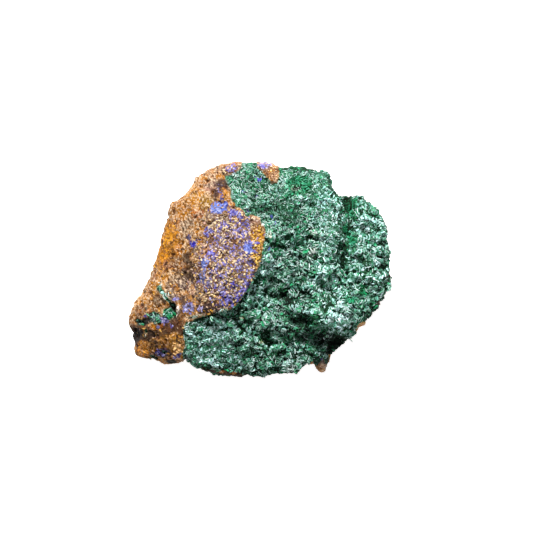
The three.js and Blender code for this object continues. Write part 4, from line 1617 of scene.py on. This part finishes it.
@dataclass
class RockBody:
    """The whole stone as one closed mesh: rock, plate and ground of the crust. Lengths are in millimetres."""

    draft_cell: float = 0.403
    """Size of a face while the stone is sculpted."""
    draft_rounds: int = 9
    cell: float = 0.31
    """Size of a face of the finished crystal face."""
    rounds: int = 2
    rest_share: float = 0.1
    """Share of the faces that stay where the stone rests."""
    side_share: float = 0.5
    """Share of the faces that stay on the sides and the back."""
    ledge_rise: float = 1.7
    """Height of the plate's edge over the crust, where its share is 1."""
    ledge_slope: float = 2.6
    """Width of the solid's own slope there, which the ledge takes the place of."""
    ledge_shares: tuple[PlanPoint, ...] = (
        (-22, 0.3), (-13, 0.6), (-9, 1.5), (-2, 1.15), (8, 0.8), (15, 0.35), (26, 0.15),
    )
    """Places along the y axis and the ledge's share of its height there."""
    north: PlanPoint = (11.5, 13.5)
    """Where along the y axis the ledge gives way to the low rim in the north."""
    ledge_lean: float = 0.45
    lip_rise: float = 0.35
    north_rim_rise: float = 0.35
    island_rise: float = 0.4
    bank_rise: float = 1.4
    south_bank_rise: float = 0.8
    crack_depth: float = 0.85
    side_swell: float = 0.2
    swell_wobble: float = 0.6
    """How much of the wobble the swells' edges take."""
    tallest: float = 22.0
    map_size: PlanPoint = (76, 64)
    """Width and height of the plan that the bake's map shows."""
    map_spread: float = 4.5
    """How far the lowest parts are drawn out past the plan on the map."""
    map_split: float = 0.30
    """Share of the map's height that the back takes."""

    @staticmethod
    def remeshed(mesh: bpy.types.Mesh, cell: float, rounds: int) -> bpy.types.Mesh:
        """The same closed surface with even faces.

        Args:
            mesh: The surface, which is used up.
            cell: Size of a face in millimetres.
            rounds: How many times the surface is smoothed.

        Returns:
            The new mesh.
        """
        draft = new_object("stone_draft", mesh)
        weld = draft.modifiers.new("weld", "WELD")
        weld.merge_threshold = 0.001 * MM
        even = draft.modifiers.new("even", "REMESH")
        even.mode = "VOXEL"
        even.voxel_size = cell * MM
        fine = settled(draft)
        bpy.data.objects.remove(draft)
        bpy.data.meshes.remove(mesh)
        edges = np.empty(len(fine.edges) * 2, np.int32)
        fine.edges.foreach_get("vertices", edges)
        points = coordinates(fine)
        rest = points[:, 2] < REST_LEVEL * MM
        points = relaxed(points, edges.reshape(-1, 2), rounds)
        points[rest, 2] = 0.0
        put_coordinates(fine, points)
        return fine

    @staticmethod
    def thinned(mesh: bpy.types.Mesh, where: np.ndarray, share: float) -> bpy.types.Mesh:
        """The same surface with fewer faces in one area.

        Args:
            mesh: The surface, which is used up.
            where: Whether each vertex lies in the area.
            share: Share of the area's faces that stay.

        Returns:
            The new mesh.
        """
        draft = new_object("stone_draft", mesh)
        group = draft.vertex_groups.new(name="area")
        group.add(np.flatnonzero(where).tolist(), 1.0, "REPLACE")
        fewer = draft.modifiers.new("fewer", "DECIMATE")
        fewer.vertex_group = group.name
        fewer.ratio = 1.0 - (1.0 - share) * float(where.mean())
        thin = settled(draft)
        bpy.data.objects.remove(draft)
        bpy.data.meshes.remove(mesh)
        return thin

    @staticmethod
    def plate_slope(plan: np.ndarray, step: float = 0.05) -> np.ndarray:
        """The way into the plate at points of the plan, one row each."""
        ahead = [plate_depth(plan + move) for move in ((step, 0), (0, step))]
        return (np.stack(ahead, axis=1) - plate_depth(plan)[:, None]) / step

    def ledge(self, site: Site) -> tuple[np.ndarray, np.ndarray]:
        """The plate's broken edge, with the crust that is banked up against it.

        Args:
            site: Points of the stone.

        Returns:
            How much higher each point stands, and how far it leans out over the crust.
        """
        places, shares = zip(*self.ledge_shares)
        share = np.interp(site.plan[:, 1], places, shares)
        north = smoothstep(site.plan[:, 1], *self.north)
        ramp = smoothstep(site.plate_depth, -self.ledge_slope / 2, self.ledge_slope / 2)
        rise = share * self.ledge_rise * (smoothstep(site.ragged, -0.35, 0.1) - ramp)
        rise += self.lip_rise * LIP.cover(site.ragged)
        rise += self.north_rim_rise * north * NORTH_RIM.cover(site.ragged)
        rise -= (0.1 + 0.4 * share) * GROOVE.cover(site.ragged) * (1 - north)
        bank = self.bank_rise * share * (1 - north) * smoothstep(site.ragged, -5.5, -0.5)
        bank += self.south_bank_rise * BANK.cover(site.plan, self.swell_wobble * site.wobble, SOFT_EDGE)
        rise += bank * smoothstep(site.ragged, 0.1, -0.4)
        return rise, self.ledge_lean * share * OVERHANG.cover(site.ragged)

    def relief(self, site: Site) -> np.ndarray:
        """The crust's broad lumps, and the broken sides.

        Args:
            site: Points of the stone.

        Returns:
            How far each point stands out, in millimetres.
        """
        broad, _, shelf = site.clumps
        lumps = site.crust * (shelf - 0.05 - self.crack_depth * (1 - broad))
        lumps *= (1 - 0.6 * site.calm) * (1 - 0.45 * smoothstep(site.tilt, 0.5, 0.1))
        sides = smoothstep(site.tilt, 0.25, -0.25)
        out = lumps + sides * (self.side_swell + (1 - site.crust) * site.broken)
        return out * smoothstep(site.height, REST_LEVEL, 1.5)

    def sculpted(self, site: Site) -> np.ndarray:
        """The stone with its ledge, hollows and broad lumps.

        Args:
            site: Points of the stone.

        Returns:
            Their new places in millimetres.
        """
        rise, lean = self.ledge(site)
        rise += swollen(site.plan, self.swell_wobble * site.wobble)
        island = inside_distance(site.plan, ISLAND) + 0.3 * site.wobble
        rise += self.island_rise * smoothstep(island, -0.25, 0.25)
        up = smoothstep(site.tilt, 0.1, 0.5)
        moved = site.points + site.facing * self.relief(site)[:, None]
        moved[:, 2] = np.maximum(moved[:, 2] + up * rise, 0.0)
        moved[:, :2] -= (up * lean)[:, None] * self.plate_slope(site.plan)
        for nudge in NUDGES:
            moved[:, :2] += nudge.shift(site.plan)
        return moved

    @staticmethod
    def detailed(site: Site) -> np.ndarray:
        """The stone with its small relief, and with shallow dents where it rests.

        Args:
            site: Points of the stone.

        Returns:
            Their new places in millimetres.
        """
        small, (pit, hole) = site.clumps[1], site.pits
        bumpy = 0.5 * (small - 0.8) + 0.2 * RIPPLE.at(site.points + Apart.BUMPS, 1.4)
        sandy = 0.08 - 0.22 * pit - 0.5 * hole
        sandy += RIPPLE.layers(site.points + Apart.SAND, [(2.6, 0.28), (1.1, 0.18)])
        rest = site.height < REST_LEVEL
        out = (site.crust * bumpy + (1 - site.crust) * sandy) * ~rest
        moved = site.points + site.facing * out[:, None]
        dents = 0.5 * RIPPLE.at(site.points[rest] + Apart.DENTS, 3.4)
        dents += 0.25 * RIPPLE.at(site.points[rest] + Apart.SMALL_DENTS, 1.3)
        moved[rest, 2] = dents - 0.1
        moved[:, 2] = np.maximum(moved[:, 2], 0.0)
        return moved

    def lay_map(self, mesh: bpy.types.Mesh) -> None:
        """Lays the crystal face out on the upper part of the bake's map, and the back on the lower part.

        Args:
            mesh: The finished body. The steeper its sides, the further they are drawn out past the plan.
        """
        points, corners = coordinates(mesh) / MM, corner_vertices(mesh)
        plan, level = points[:, :2], widest_level(points[:, :2])
        over = points[:, 2] - level
        share = np.clip(np.where(over > 0, over / (self.tallest - level), -over / level), 0, 1)
        spread = self.map_spread * (1 - share) / np.sqrt((plan**2).sum(axis=1) + 3.0**2)
        place = (plan * (1 + spread)[:, None] / self.map_size + 0.5)[corners]
        starts = np.empty(len(mesh.polygons), np.int32)
        mesh.polygons.foreach_get("loop_start", starts)
        counts = np.diff(np.append(starts, len(corners)))
        upper = np.repeat(np.add.reduceat(over[corners], starts) > 0, counts)
        split, across = self.map_split, place[:, 1]
        place[:, 1] = np.where(upper, split + (1 - split) * across, (split - 0.01) * across)
        put_map(mesh, place)

    def build(self) -> bpy.types.Object:
        """Builds the body and dresses it.

        Returns:
            The finished piece.
        """
        mesh = frame["nodes"][STONE_NODE].data.copy()
        mesh.materials.clear()
        mesh = self.remeshed(mesh, self.draft_cell, self.draft_rounds)
        put_coordinates(mesh, self.sculpted(Site(coordinates(mesh) / MM, normals(mesh))) * MM)
        mesh = self.remeshed(mesh, self.cell, self.rounds)
        mesh = self.thinned(mesh, coordinates(mesh)[:, 2] < REST_LEVEL * MM, self.rest_share)
        mesh = self.thinned(mesh, normals(mesh)[:, 2] < 0.05, self.side_share)
        site = Site(coordinates(mesh) / MM, normals(mesh))
        put_coordinates(mesh, self.detailed(site) * MM)
        for name, values in site.numbers.items():
            put_numbers(mesh, name, values)
        put_colours(mesh, "ground", site.colours)
        put_colours(mesh, "azure", site.azurite[1])
        self.lay_map(mesh)
        mesh.polygons.foreach_set("use_smooth", [True] * len(mesh.polygons))
        mesh.materials.append(RockFinish().material())
        body = new_object("rock_body", mesh)
        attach(body, BODY)
        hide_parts(STONE_NODE)
        return body


# ---- Crystals and grains ----


@dataclass
class Shape:
    """Loose mesh data: places in millimetres, faces, and each vertex's rise from root to tip."""

    points: list[Vector] = field(default_factory=list)
    faces: list[tuple[int, ...]] = field(default_factory=list)
    rise: list[float] = field(default_factory=list)

    def add(self, other: "Shape", place: Matrix) -> None:
        """Adds another shape, moved by a matrix.

        Args:
            other: The shape to add.
            place: The matrix that moves it.
        """
        start = len(self.points)
        self.points += [place @ p for p in other.points]
        self.faces += [tuple(start + i for i in face) for face in other.faces]
        self.rise += other.rise

    def thing(self, name: str) -> bpy.types.Object:
        """The shape as an object in metres, with its rise stored.

        Args:
            name: What the object is called.

        Returns:
            An object that no scene holds yet.
        """
        mesh = bpy.data.meshes.new(name)
        mesh.from_pydata([p * MM for p in self.points], [], self.faces)
        put_numbers(mesh, "rise", np.array(self.rise))
        put_map(mesh, self.map_places())
        return bpy.data.objects.new(name, mesh)

    def map_places(self, reach: float = 0.62, most: float = 0.44) -> np.ndarray:
        """Lays every face out in a square of its own.

        Args:
            reach: Distance of a face's corners from its square's middle, in squares.
            most: The furthest that a corner may lie along either axis, in squares.

        Returns:
            Place of each face corner on the unit square.
        """
        side = math.ceil(math.sqrt(len(self.faces)))
        places = []
        for number, face in enumerate(self.faces):
            row, column = divmod(number, side)
            angles = 2 * math.pi * (np.arange(len(face)) + 0.5) / len(face)
            spots = np.clip(reach * np.stack([np.cos(angles), np.sin(angles)], axis=1), -most, most)
            places.append((spots + 0.5 + (column, row)) / side)
        return np.concatenate(places)


def ribbon(wide: float, thick: float, tall: float, bend: float, parts: int,
           draw: np.random.Generator, root: float = -0.35) -> Shape:
    """One curved crystal blade that stands on its root.

    Args:
        wide: Length of the blade's edge.
        thick: Its thickness.
        tall: Height at its highest.
        bend: How far its middle stands out of line.
        parts: Number of straight parts.
        draw: Source of its uneven outline.
        root: Level of its root.

    Returns:
        A closed shape.
    """
    shape = Shape()
    for i in range(parts + 1):
        share = i / parts - 0.5
        height = tall * draw.uniform(0.75, 1.0) * (1.0 if 0 < i < parts else draw.uniform(0.5, 0.8))
        half = 0.5 * thick * (1.0 if 0 < i < parts else 0.5)
        out = bend * (1 - 4 * share * share)
        for side in (-1, 1):
            shape.points.append(Vector((share * wide * 0.75, out + side * half, root)))
        for side in (0.75, -0.75):
            shape.points.append(Vector((share * wide, out + side * half, height)))
        shape.rise += [0.0, 0.0, 1.0, 1.0]
    for start in range(0, 4 * parts, 4):
        for low in range(4):
            high = (low + 1) % 4
            shape.faces.append((start + low, start + 4 + low, start + 4 + high, start + high))
    last = 4 * parts
    shape.faces += [(0, 1, 2, 3), (last + 3, last + 2, last + 1, last)]
    return shape


def blade(draw: np.random.Generator) -> Shape:
    """One long curved blade.

    Args:
        draw: Source of random numbers.

    Returns:
        The blade.
    """
    wide = draw.uniform(1.3, 2.5)
    thick = draw.uniform(0.24, 0.38)
    tall = draw.uniform(0.35, 0.6)
    return ribbon(wide, thick, tall, draw.uniform(-0.1, 0.35), 3, draw)


def sheaf(draw: np.random.Generator) -> Shape:
    """Uneven curved blades side by side that open like the leaves of a book.

    Args:
        draw: Source of random numbers.

    Returns:
        The sheaf.
    """
    shape = Shape()
    count = int(draw.integers(3, 5))
    bend = draw.uniform(0.0, 0.3)
    for i in range(count):
        share = i / (count - 1) - 0.5
        wide, thick, tall = draw.uniform(1.0, 1.9), draw.uniform(0.20, 0.32), draw.uniform(0.35, 0.6)
        leaf = ribbon(wide, thick, tall, bend, 2, draw)
        turn = Euler((-share * math.radians(50), 0, draw.uniform(-0.25, 0.25))).to_matrix().to_4x4()
        place = (draw.uniform(-0.35, 0.35), share * draw.uniform(1.4, 2.0), draw.uniform(-0.15, 0.1))
        shape.add(leaf, Matrix.Translation(place) @ turn)
    return shape


def chip(draw: np.random.Generator) -> Shape:
    """One uneven plate with a rim round a lower middle, which the finish paints pale, partly as painted
    sheen.

    Args:
        draw: Source of random numbers.

    Returns:
        The chip.
    """
    shape = Shape()
    count = int(draw.integers(5, 7))
    long = draw.uniform(1.0, 1.5)
    corners = []
    for i in range(count):
        angle = 2 * math.pi * (i + draw.uniform(-0.3, 0.3)) / count
        reach = draw.uniform(0.36, 0.6)
        height = draw.uniform(0.05, 0.25)
        corners.append(Vector((math.cos(angle) * reach * long, math.sin(angle) * reach, height)))
    shape.points = [*corners, *(Vector((c.x * 0.6, c.y * 0.6, -0.3)) for c in corners)]
    shape.points.append(Vector((draw.uniform(-0.1, 0.1), draw.uniform(-0.1, 0.1), draw.uniform(0.0, 0.2))))
    shape.rise = [*([1.0] * count), *([0.0] * count), draw.uniform(0.42, 0.6)]
    for i in range(count):
        j = (i + 1) % count
        shape.faces += [(i, j, 2 * count), (count + i, count + j, j, i)]
    shape.faces.append(tuple(range(2 * count - 1, count - 1, -1)))
    return shape


def grain(draw: np.random.Generator) -> Shape:
    """One angular grain.

    Args:
        draw: Source of random numbers.

    Returns:
        The grain.
    """
    golden = (1 + math.sqrt(5)) / 2
    shape = Shape()
    corners = [(0, 1, golden), (0, -1, golden), (0, 1, -golden), (0, -1, -golden)]
    hull = np.array([np.roll(corner, k) for k in range(3) for corner in corners]) / math.hypot(1, golden)
    stretch = (draw.uniform(1.0, 2.2), draw.uniform(0.75, 1.05), draw.uniform(0.7, 1.0))
    for corner in hull:
        place = Vector(corner * stretch) * draw.uniform(0.36, 0.6)
        shape.points.append(place)
        shape.rise.append(min(1.0, max(0.0, 0.6 + place.z)))
    near = np.linalg.norm(hull[:, None] - hull[None], axis=2) < 1.2
    for a, b, c in itertools.combinations(range(12), 3):
        if near[a, b] and near[b, c] and near[a, c]:
            outward = np.cross(hull[b] - hull[a], hull[c] - hull[a]) @ hull[a] > 0
            shape.faces.append((a, b, c) if outward else (a, c, b))
    return shape


MAKERS = {Kind.SHEAF: sheaf, Kind.BLADE: blade, Kind.CHIP: chip, Kind.GRAIN: grain}


class ScatterTree:
    """Geometry Nodes that stand one of several kinds on each of many points of a surface."""

    def __init__(self) -> None:
        """Draws the tree."""
        self.group = bpy.data.node_groups.new("scatter", "GeometryNodeTree")
        self.inputs = {
            "Surface": "NodeSocketGeometry", "Kinds": "NodeSocketCollection", "Finish": "NodeSocketMaterial",
            "Where": "NodeSocketString", "Spacing": "NodeSocketFloat", "Crowding": "NodeSocketFloat",
            "Smallest": "NodeSocketFloat", "Largest": "NodeSocketFloat", "Lean": "NodeSocketFloat",
            "Swing": "NodeSocketFloat", "Current": "NodeSocketFloat", "Seed": "NodeSocketInt",
        }
        for name, kind in self.inputs.items():
            self.group.interface.new_socket(name, in_out="INPUT", socket_type=kind)
        self.group.interface.new_socket("Crystals", in_out="OUTPUT", socket_type="NodeSocketGeometry")
        self.draw(Sheet(self.group))

    @staticmethod
    def turned(sheet: Sheet, rotation: Wire, angles: Wire) -> Wire:
        """A rotation turned further about its own axes.

        Args:
            sheet: The tree.
            rotation: The rotation.
            angles: Angles about its axes, in radians.

        Returns:
            The new rotation.
        """
        further = sheet.node("FunctionNodeEulerToRotation", {}, {"Euler": angles})
        inputs = {"Rotation": rotation, "Rotate By": further["Rotation"]}
        return sheet.node("FunctionNodeRotateRotation", {"rotation_space": "LOCAL"}, inputs)["Rotation"]

    @staticmethod
    def stored(sheet: Sheet, name: Wire | str) -> Wire:
        """Number that the surface stores under that name."""
        settings = {"data_type": "FLOAT"}
        return sheet.node("GeometryNodeInputNamedAttribute", settings, {"Name": name})["Attribute"]

    @staticmethod
    def chance(sheet: Sheet, seed: Wire, kind: str = "FLOAT", **ends: Wire) -> Wire:
        """Random value for each crystal, from 0 to 1 unless Min and Max are given."""
        inputs = {**ends, "Seed": seed}
        return sheet.node("FunctionNodeRandomValue", {"data_type": kind}, inputs)["Value"]

    @staticmethod
    def marked(sheet: Sheet, crystals: Wire, name: str, value: Wire) -> Wire:
        """Crystals that each store a number of their own under that name.

        Args:
            sheet: The tree.
            crystals: The crystals to mark.
            name: The number's name.
            value: The number.

        Returns:
            The marked crystals.
        """
        settings = {"data_type": "FLOAT", "domain": "INSTANCE"}
        inputs = {"Geometry": crystals, "Name": name, "Value": value}
        return sheet.node("GeometryNodeStoreNamedAttribute", settings, inputs)["Geometry"]

    @staticmethod
    def draw(sheet: Sheet) -> None:
        """Adds the tree's nodes.

        Args:
            sheet: The empty tree.
        """
        given = sheet.node("NodeGroupInput")
        spread = sheet.node(
            "GeometryNodeDistributePointsOnFaces",
            {"distribute_method": "POISSON"},
            {"Mesh": given["Surface"], "Distance Min": given["Spacing"], "Density Max": given["Crowding"],
             "Density Factor": ScatterTree.stored(sheet, given["Where"]), "Seed": given["Seed"]},
        )
        kinds = sheet.node(
            "GeometryNodeCollectionInfo", {},
            {"Collection": given["Kinds"], "Separate Children": True, "Reset Children": True},
        )
        place = sheet.node("GeometryNodeInputPosition")["Position"]
        inputs = {"Vector": place, "Scale": given["Current"], "Detail": 0.0}
        current = sheet.node("ShaderNodeTexNoise", {}, inputs)
        heading = sheet.node("ShaderNodeCombineXYZ", {}, {"Z": current[0] * (4 * math.pi)})
        turned = ScatterTree.turned(sheet, spread["Rotation"], heading[0])
        ends = {"X": given["Lean"], "Y": given["Lean"], "Z": given["Swing"]}
        most = sheet.node("ShaderNodeCombineXYZ", {}, ends)
        least = sheet.node("ShaderNodeVectorMath", {"operation": "SCALE"}, {"Vector": most[0], "Scale": -1.0})
        ends = {"Min": least["Vector"], "Max": most[0]}
        lean = ScatterTree.chance(sheet, given["Seed"] + 1.0, "FLOAT_VECTOR", **ends)
        size = ScatterTree.chance(sheet, given["Seed"] + 2.0, Min=given["Smallest"], Max=given["Largest"])
        stood = sheet.node(
            "GeometryNodeInstanceOnPoints", {},
            {"Points": spread["Points"], "Instance": kinds["Instances"], "Pick Instance": True,
             "Rotation": ScatterTree.turned(sheet, turned, lean),
             "Scale": size * ScatterTree.stored(sheet, "vigour")},
        )
        crystals = stood["Instances"]
        for offset, name in enumerate(("tone", "pick", "mood")):
            chance = ScatterTree.chance(sheet, given["Seed"] + (3.0 + offset))
            crystals = ScatterTree.marked(sheet, crystals, name, chance)
        crystals = ScatterTree.marked(sheet, crystals, "owner", sheet.node("GeometryNodeInputIndex")["Index"])
        real = sheet.node("GeometryNodeRealizeInstances", {}, {"Geometry": crystals})
        inputs = {"Geometry": real["Geometry"], "Material": given["Finish"]}
        dressed = sheet.node("GeometryNodeSetMaterial", {}, inputs)
        sheet.node("NodeGroupOutput", {}, {"Crystals": dressed["Geometry"]})

    def identifier(self, name: str) -> str:
        """Identifier of the input of that name.

        Args:
            name: The input's name.

        Returns:
            What a modifier calls the input.
        """
        return next(
            item.identifier for item in self.group.interface.items_tree
            if item.item_type == "SOCKET" and item.in_out == "INPUT" and item.name == name
        )


@dataclass
class Growth:
    """One crop of crystals or grains that the scatter tree stands on the stone.

    It grows where a stored number says, at a least spacing in millimetres. Each crystal leans off the surface
    by up to so many degrees, and swings off a heading that changes over the current's millimetres.
    """

    name: str
    kinds: dict[Kind, int]
    where: str
    spacing: float
    smallest: float
    largest: float
    lean: float
    seed: int
    slot: Slot
    look: Look
    swing: float = 180.0
    current: float = 5.0

    def prototypes(self) -> bpy.types.Collection:
        """The kinds to choose from, in a collection of their own.

        Returns:
            The collection.
        """
        draw = np.random.default_rng(self.seed)
        collection = bpy.data.collections.new(self.name + "_kinds")
        for kind, count in self.kinds.items():
            for i in range(count):
                collection.objects.link(MAKERS[kind](draw).thing(f"{self.name}_{kind.value}_{i}"))
        return collection

    @staticmethod
    def lay_map(mesh: bpy.types.Mesh) -> None:
        """Gives each crystal a square of its own on the bake's map.

        Args:
            mesh: The crop's mesh, with every crystal's number stored.
        """
        owner, corners = np.empty(len(mesh.vertices), np.float32), corner_vertices(mesh)
        mesh.attributes["owner"].data.foreach_get("value", owner)
        mesh.attributes.remove(mesh.attributes["owner"])
        place = np.empty(2 * len(corners), np.float32)
        mesh.uv_layers[BAKE_MAP].uv.foreach_get("vector", place)
        number = owner[corners].astype(int)
        side = math.ceil(math.sqrt(number.max() + 1))
        square = np.stack([number % side, number // side], axis=1)
        margin = 0.03
        put_map(mesh, (square + margin + (1 - 2 * margin) * place.reshape(-1, 2)) / side)

    def build(self, host: bpy.types.Object, tree: ScatterTree,
              finish: bpy.types.Material) -> bpy.types.Object:
        """Grows the crop.

        Args:
            host: The rock body.
            tree: The scatter tree.
            finish: The crop's material.

        Returns:
            The finished piece.
        """
        collection = self.prototypes()
        draft = new_object(self.name + "_draft", host.data.copy())
        modifier = draft.modifiers.new("scatter", "NODES")
        modifier.node_group = tree.group
        values = {
            "Kinds": collection,
            "Finish": finish,
            "Where": self.where,
            "Spacing": self.spacing * MM,
            "Crowding": 1.0 / (self.spacing * MM) ** 2,
            "Smallest": self.smallest,
            "Largest": self.largest,
            "Lean": math.radians(self.lean),
            "Swing": math.radians(self.swing),
            "Current": 1 / (self.current * MM),
            "Seed": self.seed,
        }
        for name, value in values.items():
            modifier[tree.identifier(name)] = value
        mesh = settled(draft)
        bpy.data.objects.remove(draft)
        for thing in list(collection.objects):
            bpy.data.meshes.remove(thing.data)
        bpy.data.collections.remove(collection)
        self.lay_map(mesh)
        crop = new_object(self.name, mesh)
        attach(crop, BODY)
        return crop


# ---- The studio ----


@dataclass(frozen=True)
class Lamp:
    """One soft square light that faces the stone, in metres and watts."""

    name: str
    place: tuple[float, float, float]
    size: float
    power: float

    def hang(self) -> None:
        """Hangs the light."""
        lamp = bpy.data.lights.new(self.name, "AREA")
        lamp.shape = "SQUARE"
        lamp.size = self.size
        lamp.energy = self.power
        thing = bpy.data.objects.new(self.name, lamp)
        thing.location = self.place
        thing.rotation_euler = (-Vector(self.place)).to_track_quat("-Z", "Y").to_euler()
        bpy.context.scene.collection.objects.link(thing)


@dataclass
class Studio:
    """Floor, lights and camera, in metres."""

    floor_half: float = 2.0
    floor_gap: float = 0.02 * MM
    key: Lamp = Lamp("key_light", (-0.08, 0.46, 0.40), 0.10, 9.3)
    fill: Lamp = Lamp("fill_light", (0.25, -0.35, 0.5), 0.5, 1.2)
    overhead: float = 0.13
    """Strength of the room's light from above."""
    horizon: float = 0.4
    """How much stronger it is near the horizon."""
    lens: float = 85.0
    sensor: float = 36.0
    frame_pixels: int = 533
    pixel: float = 0.25 * MM
    """Width of a pixel of the frame at the focus level."""
    focus_level: float = 10.0 * MM
    aim: PlanPoint = (1.5 * MM, 1.0 * MM)

    def build_floor(self) -> None:
        """Lays the floor just under the stone."""
        half, level = self.floor_half, -self.floor_gap
        mesh = bpy.data.meshes.new("studio_floor")
        corners = [(-half, -half, level), (half, -half, level), (half, half, level), (-half, half, level)]
        mesh.from_pydata(corners, [], [(0, 1, 2, 3)])
        mesh.materials.append(FloorFinish().material())
        new_object("studio_floor", mesh)

    def build_lights(self) -> None:
        """Hangs the key light in the north, a fill, and the pale room light."""
        self.key.hang()
        self.fill.hang()
        world = bpy.data.worlds.new("studio_room")
        world.use_nodes = True
        sheet = Sheet(world.node_tree)
        way = sheet.node("ShaderNodeTexCoord")["Generated"]
        height = sheet.node("ShaderNodeSeparateXYZ", {}, {"Vector": way})["Z"]
        strength = self.overhead + self.horizon * height.between(0.30, 0.10)
        light = sheet.node("ShaderNodeBackground", {}, {"Color": (1.0, 1.0, 1.0, 1.0), "Strength": strength})
        sheet.node("ShaderNodeOutputWorld", {}, {"Surface": light["Background"]})
        bpy.context.scene.world = world

    def build_camera(self) -> None:
        """Stands the camera over the crystal face, looking straight down with north at the top."""
        eye = bpy.data.cameras.new("camera")
        eye.lens = self.lens
        eye.sensor_width = self.sensor
        eye.clip_start = 0.01
        thing = bpy.data.objects.new("camera", eye)
        distance = self.frame_pixels * self.pixel * self.lens / self.sensor
        thing.location = (*self.aim, self.focus_level + distance)
        bpy.context.scene.collection.objects.link(thing)
        bpy.context.scene.camera = thing

    def build(self) -> None:
        """Builds the whole studio."""
        self.build_floor()
        self.build_lights()
        self.build_camera()
        view = bpy.context.scene.view_settings
        view.view_transform = "Standard"
        view.look = "None"


PLATES = (Slot.CRUST, Look.PLATES)
BLADES = (Slot.CRUST, Look.BLADES)
GRAINS = (Slot.PLATE, Look.GRAINS)
SIDE_KINDS = {Kind.CHIP: 4, Kind.GRAIN: 2}

GROWTHS = [
    Growth("malachite_plates", {Kind.CHIP: 8}, "growing", 0.72, 0.62, 0.98, 20, 101, *PLATES),
    Growth("malachite_chips", {Kind.CHIP: 8}, "covered", 0.50, 0.32, 0.58, 25, 202, *PLATES),
    Growth("malachite_sheaves", {Kind.SHEAF: 8}, "growing", 0.78, 0.54, 0.85, 22, 303, *BLADES, 30),
    Growth("malachite_blades", {Kind.BLADE: 10}, "growing", 0.50, 0.44, 0.80, 25, 808, *BLADES, 35),
    Growth("malachite_scales", {Kind.CHIP: 6}, "skirted", 0.55, 0.3, 0.5, 12, 404, *PLATES),
    Growth("plate_grains", {Kind.GRAIN: 8}, "domed", 0.42, 0.30, 0.54, 20, 505, *GRAINS),
    Growth("plate_chips", {Kind.CHIP: 6}, "domed", 0.60, 0.3, 0.6, 30, 606, *GRAINS),
    Growth("side_grains", SIDE_KINDS, "sides", 0.9, 0.4, 0.8, 30, 707, Slot.ROCK, Look.GRAINS),
]


def report(piece: bpy.types.Object) -> None:
    """Logs a finished piece's triangles."""
    triangles = sum(len(face.vertices) - 2 for face in piece.data.polygons)
    log.info("%s: %d triangles", piece.name, triangles)


def main() -> None:
    """Builds the stone and its studio."""
    logging.basicConfig(level=logging.INFO, format="%(name)s %(message)s")
    body = RockBody().build()
    report(body)
    tree = ScatterTree()
    finishes = {
        Look.BLADES: BladeFinish(Look.BLADES.value, 0.75, 0.7, 0.85).material(),
        Look.PLATES: BladeFinish(Look.PLATES.value, 0.95, 0.3, 0.4).material(),
        Look.GRAINS: GrainFinish().material(),
    }
    for growth in GROWTHS:
        report(growth.build(body, tree, finishes[growth.look]))
    Studio().build()


if __name__ == "__main__":
    main()
